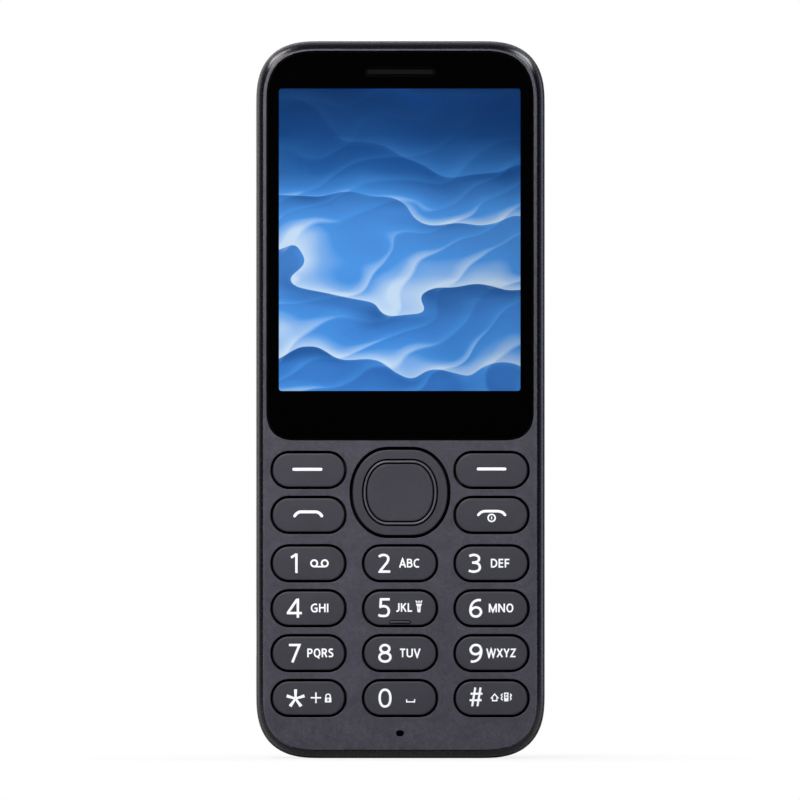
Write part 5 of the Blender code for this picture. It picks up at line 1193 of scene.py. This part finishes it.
def make_cover():
    rounds = []
    for step in range(1, 13):
        angle = math.pi / 2 * step / 12
        rounds.append((1 - math.cos(angle) ** (2 / 2.2), math.sin(angle) ** (2 / 2.2)))
    side_end = BODY_DEPTH - COVER_ROUND
    round_inside = COVER_ROUND - COVER_WALL

    def outline(inset):
        return body_outline(inset, inset)

    stack = stacked(
        outline, *((COVER_WALL + round_inside * inward, side_end + round_inside * down)
                   for inward, down in reversed(rounds)),
        (COVER_WALL, side_end), (COVER_WALL, COVER_FRONT), (0.0002, COVER_FRONT),
        (0.00006, COVER_FRONT + 0.00006), (0, COVER_FRONT + 0.0002), (0, side_end),
        *((COVER_ROUND * inward, side_end + COVER_ROUND * down) for inward, down in rounds),
    )
    shell = place("cover_shell", loft("cover_shell", [stack]), "cover")
    carve(shell, cover_cutters())
    declare(shell, "back_cover", ["back_cover"])


def back_flared(outline, front, edge):
    """A cutter from behind that leaves a rounded edge round its mouth in the back face."""
    stack = [section(outline(0), front)]
    for step in range(ROUND_STEPS + 1):
        turn = math.pi / 2 * (1 - step / ROUND_STEPS)
        depth = BODY_DEPTH - edge * (1 - math.cos(turn))
        stack.append(section(outline(-edge * (1 - math.sin(turn))), depth))
    stack.append(section(outline(-edge), BODY_DEPTH + OVERRUN))
    return stack


def middle_of(node):
    low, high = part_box(node)
    return (low + high) / 2


def glass_seat(x, z, hole, seat, depth, edge, sides=32):
    """A cutter for a round glass in the cover: a hole through, and a wider seat from behind."""
    stack = stacked(lambda _: circle(x, z, hole, sides), (0, COVER_FLOOR), (0, depth))
    return stack + back_flared(lambda inset: circle(x, z, seat - inset, sides), depth, edge)


def cover_cutters():
    camera, torch, speaker = (middle_of(node) for node in ("camera_window", "torch_lens", "speaker_mesh"))
    mesh_hole = centred(0, speaker.z, 0.0146, 0.01, 0.0012)
    cutters = [
        glass_seat(0, camera.z, 0.0036, 0.0048, CAMERA_SEAT, 0.00025, 48),
        glass_seat(torch.x, camera.z, 0.0015, 0.0022, TORCH_SEAT, 0.0002),
        [section(mesh_hole, COVER_FLOOR), section(mesh_hole, CAMERA_SEAT)],
    ]
    for index in range(5):
        z = speaker.z + (index - 2) * 0.0018
        cutters.append(back_flared(oblong(0, z, 0.0115, 0.0009, 0.00044, 6), SLOTS_SEAT, 0.00014))
    return cutters + end_cutters()


def end_cutters():
    """The mouths of the two ports in the ends, and the fingernail notch in the side."""
    low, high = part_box("usb_port")
    half = high.x + 0.0004
    front, back = low.y - FACE_Y - 0.0004, high.y - FACE_Y + 0.0004
    mouth = rounded(-half, half, front, back, (0.0008, 0.0008), steps=6)
    wide = rounded(-half - 0.0002, half + 0.0002, front - 0.0002, back + 0.0002, (0.001, 0.001), steps=6)
    usb = [level(wide, -OVERRUN), level(wide, 0), level(mouth, 0.0002), level(mouth, 0.0013)]
    jack = middle_of("audio_jack")
    hole, wide = (circle(jack.x, jack.y - FACE_Y, radius, 40) for radius in (0.0026, 0.0028))
    plug = [level(hole, BODY_HEIGHT - 0.0013), level(hole, BODY_HEIGHT - 0.0002)]
    plug += [level(wide, BODY_HEIGHT), level(wide, BODY_HEIGHT + OVERRUN)]
    outer, inner = -BODY_WIDTH / 2 - OVERRUN, -BODY_WIDTH / 2 + 0.0006
    notch = [(outer, 0.018), (inner, 0.0189), (inner, 0.0261), (outer, 0.027)]
    return [usb, plug, [section(notch, 0.0033), section(notch, 0.0052)]]


def make_camera():
    """The camera's glass in its polished ring."""
    z = middle_of("camera_window").z
    back = BODY_DEPTH
    ring = stacked(
        lambda inset: circle(0, z, 0.0046 - inset, 64), (0, CAMERA_GLASS_FRONT), (0, back - 0.00012),
        (0.00004, back - 0.00003), (0.00012, back), (0.0005, back), (0.0006, back - 0.00004),
        (0.00072, back - 0.0002), (0.00072, CAMERA_GLASS_FRONT),
    )
    body_piece("camera_ring", [ring], "steel", "back_cover", ring=True)
    glass = stacked(
        lambda inset: circle(0, z, 0.00386 - inset, 64), (0, CAMERA_GLASS_FRONT), (0, back - 0.00022),
        (0.00006, back - 0.00018),
    )
    body_piece("camera_glass", [glass], "pane", "back_cover", ["camera_window"])


def make_floor():
    """A round pale floor just under the phone, which keeps its shadow."""
    shape = bmesh.new()
    shape.faces.new([shape.verts.new((x, y, -0.00002)) for x, y in circle(0, 0, 0.5, 96)])
    place("floor", meshed("floor", shape), "floor")


def lamp(name, where, aim, width, height, power, colour):
    data = bpy.data.lights.new(name, "AREA")
    data.shape = "RECTANGLE"
    data.size = width
    data.size_y = height
    data.energy = power
    data.color = colour
    stand(name, data, Vector(where), Vector(aim) - Vector(where))


def stand(name, data, where, way):
    """Puts a lamp or camera in the scene, looking along way."""
    obj = bpy.data.objects.new(name, data)
    obj.location = where
    obj.rotation_mode = "QUATERNION"
    obj.rotation_quaternion = way.to_track_quat("-Z", "Y")
    bpy.context.scene.collection.objects.link(obj)
    return obj


def make_lights():
    middle = (0, 0, 0.066)
    lamp("lamp_key", (-0.09, -0.24, 0.21), (0, 0, 0.05), 0.14, 0.1, 0.7, (1, 0.99, 1))
    lamp("lamp_front", (0.0, -0.9, 0.55), middle, 0.9, 0.5, 2.9, (0.98, 0.99, 1))
    lamp("lamp_top", (0.0, -0.05, 0.7), middle, 0.6, 0.3, 0.3, (1, 0.82, 0.8))
    lamp("lamp_back_left", (-0.6, 0.6, 0.8), middle, 0.5, 0.5, 3.5, (1, 0.97, 0.95))
    lamp("lamp_back_right", (0.6, 0.6, 0.8), middle, 0.5, 0.5, 3.5, (0.95, 0.97, 1))
    lamp("lamp_rim_left", (-0.4, 1.0, 0.12), middle, 0.5, 0.3, 0.09, (1, 0.9, 0.86))
    lamp("lamp_rim_right", (0.3, 1.1, 0.12), middle, 0.5, 0.3, 0.14, (0.62, 0.72, 1))


def make_world():
    """White to the eye; for light and reflections a pale room that is dark behind the camera."""
    world = bpy.data.worlds.new("studio")
    bpy.context.scene.world = world
    n = Nodes(world, "Generated")
    greys = ((0.0, 0.003), (0.1, 0.004), (0.2, 0.012), (0.84, 0.02), (0.95, 0.22), (1.0, 0.25))
    stops = [(where, (grey, grey, grey * 1.04)) for where, grey in greys]
    room = n.ramp(n.between(n.axis("Y"), -1, 1), stops)
    tint = n.ramp(n.between(n.axis("X"), -0.6, 0.6), ((0.0, (1, 0.9, 0.86)), (1.0, (0.84, 0.88, 1.25))))
    soft = n.add("ShaderNodeBackground", {"Color": n.blend(1.0, room, tint, "MULTIPLY")})
    white = n.add("ShaderNodeBackground", {"Color": (1, 1, 1)})
    light = n.add("ShaderNodeLightPath")
    through = n.math("SUBTRACT", light.outputs["Is Transmission Ray"], light.outputs["Glossy Depth"], True)
    seen = n.math("MAXIMUM", light.outputs["Is Camera Ray"], through)
    n.feed(n.tree.nodes["World Output"].inputs["Surface"], n.mixed(seen, soft.outputs[0], white.outputs[0]))


def make_camera_view():
    """A long lens square to the front, a little to its right, framed as the photograph is."""
    data = bpy.data.cameras.new("camera")
    data.lens = 1200
    data.sensor_width = 36
    data.clip_end = 50
    distance = 800 * PIXEL * data.lens / data.sensor_width
    azimuth = math.radians(0.75)
    back = Vector((math.sin(azimuth), -math.cos(azimuth), 0))
    target = Vector((-0.00005, -0.003, 0.06573))
    bpy.context.scene.camera = stand("camera", data, target + back * distance, -back)


dress_cad()
make_housing()
make_window()
make_picture()
make_mic_weave()
make_keys()
make_nav()
make_select()
make_legends()
make_cover()
make_camera()
make_floor()
make_lights()
make_world()
make_camera_view()
bpy.context.scene.view_settings.view_transform = "Standard"
